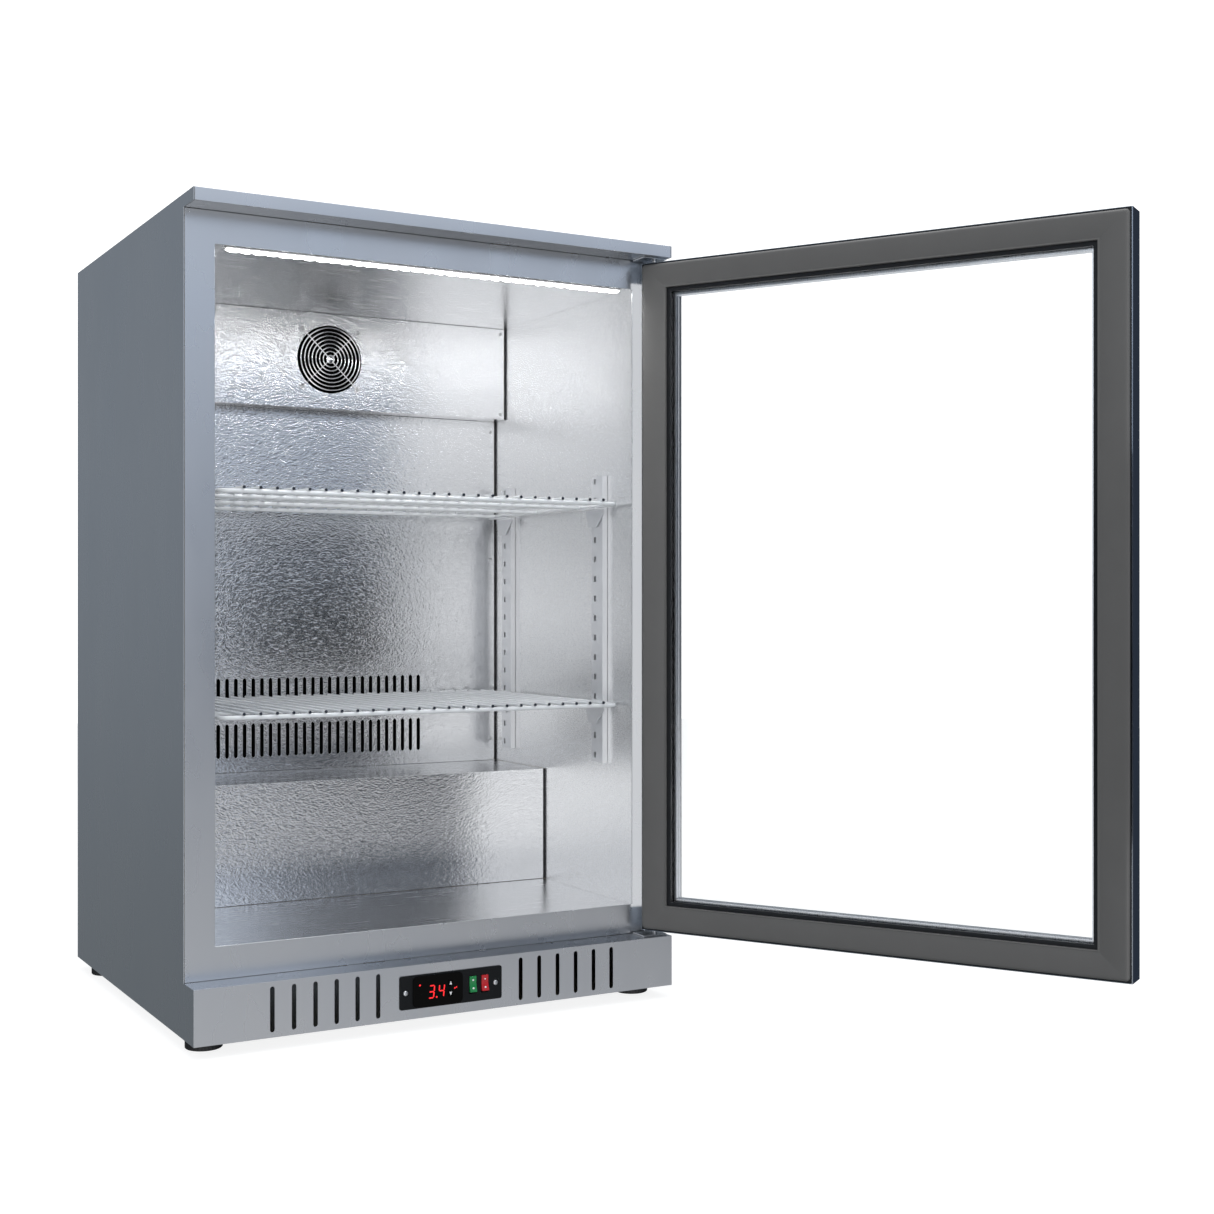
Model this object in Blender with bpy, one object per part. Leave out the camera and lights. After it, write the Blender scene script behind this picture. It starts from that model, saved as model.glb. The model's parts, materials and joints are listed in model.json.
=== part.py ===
"""Undercounter refrigerator with one glass door, two wire shelves and a fan-cooled cabinet.

Frame: metres, +X to the right seen from the front, +Y to the back, +Z up. The origin is the
centre of the base pan's underside. The door is modelled shut, then hung open on its hinge.
"""
import math

import bmesh
import bpy
from mathutils import Matrix, Vector
from mathutils.geometry import tessellate_polygon

MM = 0.001

# Driving dimensions of the cabinet
WIDTH = 580 * MM
DEPTH = 523 * MM
BODY_H = 886 * MM
FOOT_H = 14 * MM
OVERHANG = 36.6 * MM  # the canopy and the plinth stand this far in front of the face frame
CANOPY_H = 14.1 * MM
PLINTH_H = 59.2 * MM
OPENING_HALF = 256.5 * MM
OPENING_LOW = 94.3 * MM
OPENING_HIGH = 836.8 * MM
SHEET = 1.0 * MM
GAP = 0.3 * MM  # clearance between neighbouring pieces
LAP = 10 * MM  # folded edges reach this far behind the face frame

HALF = WIDTH / 2
FRONT = -DEPTH / 2
BACK = DEPTH / 2
FACE = FRONT + OVERHANG
UNDER_CANOPY = BODY_H - CANOPY_H
INSIDE = HALF - SHEET - GAP  # half width of what lies between the side panels

# Cold space
HUMP_FRONT = 0.5 * MM
HUMP_TOP = 239.7 * MM
DUCT_FACE = 147.5 * MM
FAN_FACE = 116.5 * MM
FAN_COVER_LOW = 712 * MM
LINER_BACK = 205 * MM
COVER_HALF = 255 * MM  # inner covers stop 1.5 mm short of the side walls
FAN_Z = 776.7 * MM
MACHINE_ROOM_FRONT = 28 * MM
MACHINE_ROOM_TOP = 212 * MM

# Shelves and their standards
SHELF_WIRE_Z = (338.2 * MM, 582.0 * MM)
SHELF_HALF = 247 * MM
SHELF_FRONT = -212 * MM
SHELF_REAR = 121 * MM
WIRE = 3.6 * MM
RAIL = 5.0 * MM
WIRES = 25
WIRE_PITCH = 18.49 * MM
RAIL_TOP = -WIRE / 2 + 0.4 * MM  # from a wire's centre: the wires are welded into the rails
STANDARD_LOW = 260 * MM
STANDARD_HIGH = 616 * MM
STANDARD_Y = (-165.5 * MM, 86.0 * MM)
SLOTS = 15
SLOT_PITCH = (SHELF_WIRE_Z[1] - SHELF_WIRE_Z[0]) / 10
CLIP_TOP = RAIL_TOP - RAIL - GAP  # from a wire's centre
TAB_DROP = 14 * MM

# Door, in its shut position
DOOR_W = 580 * MM
DOOR_LOW = 65 * MM
DOOR_HIGH = 866 * MM
DOOR_T = 31.3 * MM
DOOR_OPEN = math.radians(119.5)
PIN_X = HALF - 12.5 * MM
PIN_Y = FRONT + 19.5 * MM
PIN_R = 3 * MM
PIN_TO_EDGE = 11.5 * MM
PIN_TO_INNER = 12.3 * MM
FRAME_SIDE = 40 * MM
FRAME_END = 36.5 * MM

# Controls on the plinth
BEZEL_HALF = 62.2 * MM
BEZEL_Z = (11.1 * MM, 48.2 * MM)
ROCKERS = (("green", 26.2 * MM), ("red", 41.0 * MM))
ROCKER_HALF = (4.2 * MM, 9.0 * MM)
ROCKER_Z = 30.3 * MM
ROCKER_TILT = math.radians(7)
KEYS = (("up", 35.6 * MM), ("down", 24.1 * MM))
KEY_X = -2.0 * MM

# Feet
FOOT_X = 264 * MM
FOOT_Y = 209.5 * MM
FOOT_R = 20 * MM
STEM_R = 4 * MM

# Base pan: a pad pressed down between the feet carries the cabinet on a stand
PAN_LIFT = 0.6 * MM
PAD_X = 230 * MM
PAD_Y = 180 * MM

ROUND = 16  # sides of a small round piece


def clear_scene():
    for obj in list(bpy.data.objects):
        bpy.data.objects.remove(obj)


def material(name, colour, roughness, metallic=0.0, alpha=1.0):
    made = bpy.data.materials.new(name)
    made.use_nodes = True
    shader = made.node_tree.nodes["Principled BSDF"]
    shader.inputs["Base Color"].default_value = (*colour, 1.0)
    shader.inputs["Roughness"].default_value = roughness
    shader.inputs["Metallic"].default_value = metallic
    shader.inputs["Alpha"].default_value = alpha
    return made


def link(name, bm, finish, parent=None):
    """Turns a bmesh into a closed, outward-facing object of the scene."""
    bmesh.ops.remove_doubles(bm, verts=bm.verts, dist=1e-6)
    bmesh.ops.recalc_face_normals(bm, faces=bm.faces)
    mesh = bpy.data.meshes.new(name)
    bm.to_mesh(mesh)
    bm.free()
    mesh.materials.append(finish)
    obj = bpy.data.objects.new(name, mesh)
    bpy.context.scene.collection.objects.link(obj)
    obj.parent = parent
    return obj


def place(axis, a, b, along):
    """A point from its two in-plane coordinates and its height along axis."""
    return {"X": (along, a, b), "Y": (a, along, b), "Z": (a, b, along)}[axis]


def add_prism(bm, outline, axis, low, high, holes=()):
    """Adds a closed prism with any through holes. Outline and holes are lists of 2D points."""
    loops = [list(outline)] + [list(hole) for hole in holes]
    flat = [point for loop in loops for point in loop]
    triangles = tessellate_polygon([[Vector((a, b, 0)) for a, b in loop] for loop in loops])
    layers = [[bm.verts.new(place(axis, a, b, level)) for a, b in flat] for level in (low, high)]
    for triangle in triangles:
        for layer in layers:
            bm.faces.new([layer[i] for i in triangle])
    first = 0
    for loop in loops:
        for i in range(len(loop)):
            j, k = first + i, first + (i + 1) % len(loop)
            bm.faces.new([layers[0][j], layers[0][k], layers[1][k], layers[1][j]])
        first += len(loop)


def prism(name, outline, axis, low, high, finish, holes=(), parent=None):
    bm = bmesh.new()
    add_prism(bm, outline, axis, low, high, holes)
    return link(name, bm, finish, parent)


def rect(a0, a1, b0, b1):
    return [(a0, b0), (a1, b0), (a1, b1), (a0, b1)]


def add_box(bm, x, y, z):
    add_prism(bm, rect(x[0], x[1], y[0], y[1]), "Z", z[0], z[1])


def box(name, x, y, z, finish, parent=None):
    bm = bmesh.new()
    add_box(bm, x, y, z)
    return link(name, bm, finish, parent)


def circle(centre, radius, sides, start=0.0):
    turns = [start + math.tau * i / sides for i in range(sides)]
    return [(centre[0] + radius * math.cos(t), centre[1] + radius * math.sin(t)) for t in turns]


def rounded_rect(a0, a1, b0, b1, radii, steps=3):
    """Corners in order (a0,b0), (a1,b0), (a1,b1), (a0,b1), each with its own radius."""
    corners = ((a0, b0, 180), (a1, b0, 270), (a1, b1, 0), (a0, b1, 90))
    points = []
    for (a, b, start), radius in zip(corners, radii):
        ca = a + radius if a == a0 else a - radius
        cb = b + radius if b == b0 else b - radius
        for i in range(steps + 1):
            turn = math.radians(start + 90 * i / steps)
            points.append((ca + radius * math.cos(turn), cb + radius * math.sin(turn)))
    return points


def slot(centre, width, low, high, steps=2):
    """An upright slot, each round end drawn in the given number of steps."""
    r = width / 2
    ends = ((high - r, 0), (low + r, math.pi))
    return [(centre + r * math.cos(start + math.pi * i / steps),
             z + r * math.sin(start + math.pi * i / steps))
            for z, start in ends for i in range(steps + 1)]


def turned(name, profile, centre, axis, finish, sides=ROUND, parent=None):
    """Spins a profile of (radius, height) points, first and last on the axis, about axis."""
    bm = bmesh.new()
    points = [bm.verts.new((r, 0, h)) for r, h in profile]
    edges = [bm.edges.new(pair) for pair in zip(points, points[1:])]
    bmesh.ops.spin(bm, geom=points + edges, cent=(0, 0, 0), axis=(0, 0, 1), angle=math.tau,
                   steps=sides, use_merge=True)
    turn = {"X": Matrix.Rotation(math.pi / 2, 4, "Y"), "Y": Matrix.Rotation(-math.pi / 2, 4, "X"),
            "Z": Matrix.Identity(4)}[axis]
    bmesh.ops.transform(bm, matrix=Matrix.Translation(centre) @ turn, verts=bm.verts)
    bmesh.ops.dissolve_degenerate(bm, edges=bm.edges, dist=1e-6)
    return link(name, bm, finish, parent)


def helper(obj):
    obj.hide_render = True
    obj.display_type = "WIRE"
    return obj


def combine(target, operation, others):
    for other in others:
        step = target.modifiers.new(operation.title(), "BOOLEAN")
        step.operation = operation
        step.solver = "EXACT"
        step.object = helper(other)
    return target


def cut(target, *others):
    return combine(target, "DIFFERENCE", others)


def fuse(target, *others):
    return combine(target, "UNION", others)


def pivot(name, location, turn=0.0):
    empty = bpy.data.objects.new(name, None)
    empty.empty_display_size = 0.02
    empty.location = location
    empty.rotation_euler = (0, 0, turn)
    bpy.context.scene.collection.objects.link(empty)
    return empty


def about(obj, origin):
    """Moves an object's origin to its joint, leaving the shape in place."""
    obj.data.transform(Matrix.Translation(-Vector(origin)))
    obj.location = origin
    return obj


# ---- outer casing ----

def build_casing(steel, galvanised):
    side = [(FACE, 0), (BACK, 0), (BACK, BODY_H), (FRONT, BODY_H), (FRONT, UNDER_CANOPY),
            (FACE, UNDER_CANOPY)]
    prism("side_panel_left", side, "X", -HALF, -HALF + SHEET, steel)
    prism("side_panel_right", side, "X", HALF - SHEET, HALF, steel)

    fold = [(BACK, BODY_H), (FRONT, BODY_H), (FRONT, UNDER_CANOPY), (FACE + LAP, UNDER_CANOPY),
            (FACE + LAP, UNDER_CANOPY + SHEET), (FRONT + SHEET, UNDER_CANOPY + SHEET),
            (FRONT + SHEET, BODY_H - SHEET), (BACK, BODY_H - SHEET)]
    prism("top_panel", fold, "X", -INSIDE, INSIDE, steel)
    prism("back_panel", rect(-INSIDE, INSIDE, MACHINE_ROOM_TOP, BODY_H - SHEET - GAP), "Y",
          BACK - SHEET, BACK, galvanised)

    opening = rect(-OPENING_HALF, OPENING_HALF, OPENING_LOW, OPENING_HIGH)
    prism("front_frame", rect(-INSIDE, INSIDE, PLINTH_H + GAP, UNDER_CANOPY - GAP), "Y",
          FACE, FACE + SHEET, steel, [opening])

    low, floor = PAN_LIFT, 1.5 * MM
    tray = [(-INSIDE, low), (INSIDE, low), (INSIDE, 15 * MM), (INSIDE - SHEET, 15 * MM),
            (INSIDE - SHEET, floor), (-INSIDE + SHEET, floor), (-INSIDE + SHEET, 15 * MM),
            (-INSIDE, 15 * MM)]
    pan = prism("base_pan", tray, "Y", FRONT + SHEET + GAP, BACK - SHEET - GAP, galvanised)
    fuse(pan, box("pressed_pad", (-PAD_X, PAD_X), (-PAD_Y, PAD_Y), (0, (low + floor) / 2), galvanised))
    stems = bmesh.new()
    for x, y in foot_places():
        add_prism(stems, circle((x, y), STEM_R + 0.4 * MM, ROUND), "Z", -LAP, LAP)
    cut(pan, link("stem_holes", stems, galvanised))


def build_plinth(steel):
    top = PLINTH_H - SHEET
    front = rect(-HALF, HALF, 0, PLINTH_H)
    panel = prism("plinth_panel", front, "Y", FRONT, FRONT + SHEET, steel)
    folds = bmesh.new()
    for side in (-1, 1):
        add_box(folds, sorted((side * HALF, side * (HALF - SHEET))), (FRONT + SHEET / 2, FACE - GAP),
                (0, PLINTH_H))
    flange = [(-HALF, FRONT + SHEET / 2), (HALF, FRONT + SHEET / 2), (HALF, FACE - GAP),
              (INSIDE, FACE - GAP), (INSIDE, FACE + LAP), (-INSIDE, FACE + LAP),
              (-INSIDE, FACE - GAP), (-HALF, FACE - GAP)]
    lid = prism("plinth_flange", flange, "Z", top, PLINTH_H, steel)
    fuse(panel, link("plinth_returns", folds, steel), lid)
    openings = bmesh.new()
    for i in range(6):
        for side in (-1, 1):
            centre = side * (206.1 * MM - i * 23.85 * MM)
            add_prism(openings, slot(centre, 5 * MM, 5.5 * MM, 54 * MM, 4), "Y",
                      FRONT - LAP, FRONT + 5 * MM)
    add_prism(openings, rect(-54 * MM, 54 * MM, 15 * MM, 45 * MM), "Y", FRONT - LAP, FRONT + 5 * MM)
    cut(panel, link("plinth_openings", openings, steel))


def build_machine_grille(galvanised, black):
    holes = []
    for row in range(9):
        low = (56 + 16 * row) * MM
        for column in range(4):
            a = (-242 + 100 * column) * MM
            holes.append(rect(a, a + 84 * MM, low, low + 6 * MM))
    gland = (230 * MM, 60 * MM)
    holes.append(circle(gland, 8 * MM, ROUND))
    prism("rear_grille", rect(-INSIDE, INSIDE, 1.8 * MM, MACHINE_ROOM_TOP - GAP), "Y",
          BACK - SHEET, BACK, galvanised, holes)
    collar = [(0, 0), (7.4 * MM, 0), (7.4 * MM, 3 * MM), (11 * MM, 3 * MM), (11 * MM, 7 * MM),
              (7 * MM, 14 * MM), (5.5 * MM, 14 * MM), (5.5 * MM, 8 * MM), (0, 8 * MM)]
    turned("cable_gland", collar, (gland[0], BACK - 2.6 * MM, gland[1]), "Y", black)


# ---- insulated liner ----

def build_liner(aluminium, foam):
    near = FACE + SHEET + GAP
    outer = [(near, PLINTH_H + 1.6 * MM), (MACHINE_ROOM_FRONT, PLINTH_H + 1.6 * MM),
             (MACHINE_ROOM_FRONT, MACHINE_ROOM_TOP), (BACK - SHEET - GAP, MACHINE_ROOM_TOP),
             (BACK - SHEET - GAP, BODY_H - SHEET - GAP), (FACE + LAP + GAP, BODY_H - SHEET - GAP),
             (FACE + LAP + GAP, UNDER_CANOPY - GAP), (near, UNDER_CANOPY - GAP)]
    body = prism("insulation", outer, "X", -INSIDE, INSIDE, foam)
    skin = SHEET + GAP
    hollow = [(near - LAP, OPENING_LOW - skin), (HUMP_FRONT + skin, OPENING_LOW - skin),
              (HUMP_FRONT + skin, HUMP_TOP - skin), (LINER_BACK + 2 * skin, HUMP_TOP - skin),
              (LINER_BACK + 2 * skin, OPENING_HIGH + skin), (near - LAP, OPENING_HIGH + skin)]
    wide = OPENING_HALF + skin
    cut(body, prism("cold_space", hollow, "X", -wide, wide, foam))

    wall = [(near, OPENING_LOW - SHEET), (HUMP_FRONT + SHEET, OPENING_LOW - SHEET),
            (HUMP_FRONT + SHEET, HUMP_TOP - SHEET), (LINER_BACK, HUMP_TOP - SHEET),
            (LINER_BACK, OPENING_HIGH + SHEET), (near, OPENING_HIGH + SHEET)]
    prism("liner_left", wall, "X", -OPENING_HALF - SHEET, -OPENING_HALF, aluminium)
    prism("liner_right", wall, "X", OPENING_HALF, OPENING_HALF + SHEET, aluminium)
    across = (-OPENING_HALF + GAP, OPENING_HALF - GAP)
    box("liner_ceiling", across, (near, LINER_BACK), (OPENING_HIGH, OPENING_HIGH + SHEET), aluminium)
    box("liner_floor", across, (near, HUMP_FRONT - GAP), (OPENING_LOW - SHEET, OPENING_LOW),
        aluminium)
    box("liner_back", (-OPENING_HALF, OPENING_HALF), (LINER_BACK + GAP, LINER_BACK + skin),
        (HUMP_TOP + GAP, OPENING_HIGH + SHEET), aluminium)

    low = OPENING_LOW + GAP
    step = [(HUMP_FRONT, low), (HUMP_FRONT, HUMP_TOP), (LINER_BACK - GAP, HUMP_TOP),
            (LINER_BACK - GAP, HUMP_TOP - SHEET), (HUMP_FRONT + SHEET, HUMP_TOP - SHEET),
            (HUMP_FRONT + SHEET, low)]
    prism("compressor_hump", step, "X", -COVER_HALF, COVER_HALF, aluminium)

    slots = [slot((i - 12) * 11.59 * MM, 4.8 * MM, low, low + 44.8 * MM)
             for low in (257.7 * MM, 316.6 * MM) for i in range(25)]
    prism("rear_duct_panel", rect(-COVER_HALF, COVER_HALF, HUMP_TOP + GAP, FAN_COVER_LOW - GAP),
          "Y", DUCT_FACE, DUCT_FACE + SHEET, aluminium, slots)

    lip = DUCT_FACE + SHEET
    cover = [(FAN_FACE, FAN_COVER_LOW), (FAN_FACE, OPENING_HIGH - GAP),
             (FAN_FACE + SHEET, OPENING_HIGH - GAP), (FAN_FACE + SHEET, FAN_COVER_LOW + SHEET),
             (lip, FAN_COVER_LOW + SHEET), (lip, FAN_COVER_LOW)]
    plate = prism("evaporator_cover", cover, "X", -COVER_HALF, COVER_HALF, aluminium)
    cut(plate, prism("fan_hole", circle((0, FAN_Z), 44.2 * MM, 2 * ROUND), "Y",
                     FAN_FACE - LAP, FAN_FACE + LAP, aluminium))


# ---- evaporator and its fan ----

def build_fan_guard(chrome):
    wire = 1.6 * MM
    front = FAN_FACE - 3.6 * MM
    guard = prism("fan_guard", circle((0, FAN_Z), 5.8 * MM, ROUND), "Y", front, front + wire, chrome)
    rings = bmesh.new()
    for i in range(7):
        radius = (10.1 + 5.05 * i) * MM
        add_prism(rings, circle((0, FAN_Z), radius + wire / 2, ROUND), "Y", front, front + wire,
                  [circle((0, FAN_Z), radius - wire / 2, ROUND)])
    bars = []
    for i, angle in enumerate((45, 135)):
        along = Vector((math.cos(math.radians(angle)), math.sin(math.radians(angle))))
        side = Vector((-along.y, along.x)) * wire / 2
        reach = along * 50.5 * MM
        middle = Vector((0, FAN_Z))
        corners = [middle - reach - side, middle + reach - side, middle + reach + side,
                   middle - reach + side]
        level = front + wire - (0.4 + 0.1 * i) * MM
        bars.append(prism(f"guard_bar_{i}", [tuple(c) for c in corners], "Y", level, level + wire,
                          chrome))
    eyes = bmesh.new()
    for x in (-37.6 * MM, 37.6 * MM):
        for z in (-37.6 * MM, 37.6 * MM):
            add_prism(eyes, circle((x, FAN_Z + z), 3.8 * MM, 8, 0.2), "Y", front + wire - 0.3 * MM,
                      front + 2 * wire - 0.6 * MM, [circle((x, FAN_Z + z), 1.9 * MM, 8, 0.2)])
    fuse(guard, link("guard_rings", rings, chrome), *bars, link("guard_eyes", eyes, chrome))


def impeller(name, centre, axis, hub, tip_r, blades, pitch, finish):
    """A hub of (radius, half length) with flat blades set at pitch, spinning about axis."""
    hub_r, half = hub
    rotor = turned(name, [(0, -half), (hub_r, -half), (hub_r, half), (0, half)], (0, 0, 0), "Z",
                   finish)
    chord = 1.5 * hub_r * math.pi / blades
    for i in range(blades):
        blade = bmesh.new()
        add_box(blade, (hub_r * 0.8, tip_r), (-chord / 2, chord / 2), (-0.8 * MM, 0.8 * MM))
        for corner in blade.verts:
            corner.co.y *= corner.co.x / hub_r * 0.7
        turn = Matrix.Rotation(math.tau * i / blades, 4, "Z") @ Matrix.Rotation(pitch, 4, "X")
        bmesh.ops.transform(blade, matrix=turn, verts=blade.verts)
        combine(rotor, "UNION", [link(f"{name}_blade_{i}", blade, finish, rotor)])
    rotor.rotation_euler = {"X": (0, math.pi / 2, 0), "Y": (-math.pi / 2, 0, 0)}[axis]
    rotor.location = centre
    return rotor


def build_evaporator(black, aluminium):
    front, back = 118 * MM, 143 * MM
    side = 40 * MM
    frame = prism("evaporator_fan_motor",
                  rounded_rect(-side, side, FAN_Z - side, FAN_Z + side, [5 * MM] * 4, 2), "Y",
                  front, back, black, [circle((0, FAN_Z), 38 * MM, 2 * ROUND)])
    arms = bmesh.new()
    add_box(arms, (-39 * MM, 39 * MM), (139 * MM, 142.6 * MM), (FAN_Z - 2.5 * MM, FAN_Z + 2.5 * MM))
    upright = box("motor_arm", (-2.5 * MM, 2.5 * MM), (139.4 * MM, 142.2 * MM),
                  (FAN_Z - 39 * MM, FAN_Z + 39 * MM), black)
    motor = prism("motor_can", circle((0, FAN_Z), 16 * MM, ROUND), "Y", 133 * MM, 142.8 * MM, black)
    fuse(frame, link("motor_cross_arm", arms, black), upright, motor)
    impeller("evaporator_fan_impeller", (0, 126 * MM, FAN_Z), "Y", (15 * MM, 6.4 * MM), 36 * MM, 7,
             math.radians(28), black)

    fins = comb(-190 * MM, 190 * MM, 24, 150 * MM, 196 * MM, 10 * MM)
    prism("evaporator_coil", fins, "Z", 728 * MM, 826 * MM, aluminium)


def comb(a0, a1, teeth, b0, b1, depth):
    """A fin block's outline: slots of the given depth cut into both long sides."""
    pitch = (a1 - a0) / (2 * teeth - 1)
    lower, upper = [], []
    for i in range(teeth):
        left, right = a0 + 2 * i * pitch, a0 + (2 * i + 1) * pitch
        lower += [(left, b0), (right, b0)]
        upper += [(left, b1), (right, b1)]
        if i < teeth - 1:
            lower += [(right, b0 + depth), (right + pitch, b0 + depth)]
            upper += [(right, b1 - depth), (right + pitch, b1 - depth)]
    return lower + upper[::-1]


# ---- refrigerating machine ----

def build_machine(black, aluminium, galvanised):
    shell = [(0, 0), (58 * MM, 0), (66 * MM, 10 * MM), (68 * MM, 40 * MM), (68 * MM, 92 * MM),
             (62 * MM, 118 * MM), (44 * MM, 136 * MM), (20 * MM, 144 * MM), (0, 146 * MM)]
    body = turned("compressor", shell, (165 * MM, 145 * MM, 16 * MM), "Z", black, 20)
    plate = box("compressor_plate", (78 * MM, 252 * MM), (85 * MM, 205 * MM), (9 * MM, 17 * MM),
                black)
    feet = bmesh.new()
    for x in (92 * MM, 238 * MM):
        for y in (98 * MM, 192 * MM):
            add_prism(feet, circle((x, y), 9 * MM, 8), "Z", 1.9 * MM, 10 * MM)
    fuse(body, plate, link("compressor_grommets", feet, black))

    fins = comb(50 * MM, 236 * MM, 20, -236 * MM, -196 * MM, 9 * MM)
    prism("condenser_coil", [(b, a) for a, b in fins], "Z", 20 * MM, 190 * MM, aluminium)
    spin_y, spin_z = 143 * MM, 105 * MM
    motor = prism("condenser_fan_motor", circle((spin_y, spin_z), 30 * MM, ROUND), "X",
                  -126 * MM, -88 * MM, black)
    post = box("motor_post", (-108 * MM, -104 * MM), (113 * MM, 173 * MM), (1.9 * MM, spin_z), black)
    sole = box("motor_sole", (-126 * MM, -86 * MM), (113 * MM, 173 * MM), (1.9 * MM, 4.5 * MM), black)
    fuse(motor, post, sole)
    impeller("condenser_fan_impeller", (-143 * MM, spin_y, spin_z), "X", (20 * MM, 9 * MM), 72 * MM,
             5, math.radians(26), galvanised)


# ---- shelves ----

def build_standard(name, side, y0, steel):
    """A folded strip on the side wall: a raised rib, and beside it a slotted land."""
    far, land, rib = 0.3 * MM, 4.3 * MM, 7.3 * MM
    skin = 1.2 * MM
    profile = [(far, 0), (rib, 0), (rib, 16 * MM), (land, 16 * MM), (land, 33 * MM), (far, 33 * MM),
               (far, 33 * MM - skin), (land - skin, 33 * MM - skin), (land - skin, 16 * MM - skin),
               (rib - skin, 16 * MM - skin), (rib - skin, skin), (far, skin)]
    outline = [(side * (OPENING_HALF - out), y0 + y) for out, y in profile]
    strip = prism(name, outline, "Z", STANDARD_LOW, STANDARD_HIGH, steel)
    slots = bmesh.new()
    lowest = SHELF_WIRE_Z[0] + CLIP_TOP - TAB_DROP - 2 * SLOT_PITCH
    across = sorted(side * (OPENING_HALF - out) for out in (land - 2 * skin, land + skin))
    for i in range(SLOTS):
        z = lowest + i * SLOT_PITCH
        add_box(slots, across, (y0 + 21.5 * MM, y0 + 27 * MM), (z - 3.5 * MM, z + 3.5 * MM))
    cut(strip, link(f"{name}_slots", slots, steel))


def build_clip(name, side, y0, wire_z, steel):
    """A plate beside the rib, with a seat for the shelf's side rail and a tab into a slot."""
    top = wire_z + CLIP_TOP
    near, far, seat = 7.7 * MM, 9.2 * MM, 22 * MM
    plate = [(y0 - 7 * MM, top), (y0 - 7 * MM, top - 5 * MM), (y0 + 12 * MM, top - 23 * MM),
             (y0 + 32 * MM, top - 23 * MM), (y0 + 39 * MM, top - 5 * MM), (y0 + 39 * MM, top)]
    across = sorted(side * (OPENING_HALF - out) for out in (near, far))
    clip = prism(name, plate, "X", across[0], across[1], steel)
    ledge = box(f"{name}_ledge", sorted(side * (OPENING_HALF - out) for out in (near + 0.5 * MM, seat)),
                (y0 - 7 * MM, y0 + 39 * MM), (top - 1.5 * MM, top), steel)
    z = top - TAB_DROP
    tab = box(f"{name}_tab", sorted(side * (OPENING_HALF - out) for out in (1.6 * MM, near + 0.5 * MM)),
              (y0 + 22.2 * MM, y0 + 26.3 * MM), (z - 2.6 * MM, z + 2.6 * MM), steel)
    fuse(clip, ledge, tab)


def build_shelf(name, wire_z, white):
    top = wire_z + RAIL_TOP
    low = top - RAIL
    inner = SHELF_HALF - RAIL
    bands = [SHELF_FRONT + RAIL, -119.5 * MM, -1.5 * MM, SHELF_REAR]
    holes = []
    for i in range(3):
        a = bands[i] + (RAIL / 2 if i else 0)
        b = bands[i + 1] - (RAIL / 2 if i < 2 else RAIL)
        holes.append(rect(-inner, inner, a, b))
    corner = 12 * MM
    frame = prism(name, rounded_rect(-SHELF_HALF, SHELF_HALF, SHELF_FRONT, SHELF_REAR, [corner] * 4),
                  "Z", low, top, white, holes)
    wires = bmesh.new()
    for i in range(WIRES):
        x = (i - WIRES // 2) * WIRE_PITCH
        add_box(wires, (x - WIRE / 2, x + WIRE / 2), (SHELF_FRONT - 4.5 * MM, SHELF_REAR + 2.5 * MM),
                (wire_z - WIRE / 2, wire_z + WIRE / 2))
    fuse(frame, link(f"{name}_wires", wires, white))
    for piece in (frame, bpy.data.objects[f"{name}_wires"]):
        about(piece, (0, (SHELF_FRONT + SHELF_REAR) / 2, low))


def build_shelving(steel, white):
    for side, hand in ((-1, "left"), (1, "right")):
        for y0, where in zip(STANDARD_Y, ("front", "rear")):
            build_standard(f"shelf_standard_{where}_{hand}", side, y0, steel)
            for wire_z, level in zip(SHELF_WIRE_Z, ("lower", "upper")):
                build_clip(f"shelf_clip_{level}_{where}_{hand}", side, y0, wire_z, steel)
    for wire_z, level in zip(SHELF_WIRE_Z, ("lower", "upper")):
        build_shelf(f"shelf_{level}", wire_z, white)


def build_light(white, lens):
    box("led_channel", (-243 * MM, 243 * MM), (-222 * MM, -211 * MM), (834.6 * MM, 836.5 * MM), white)
    box("led_diffuser", (-241 * MM, 241 * MM), (-221 * MM, -212 * MM), (831.8 * MM, 834.3 * MM), lens)


# ---- controls ----

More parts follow.
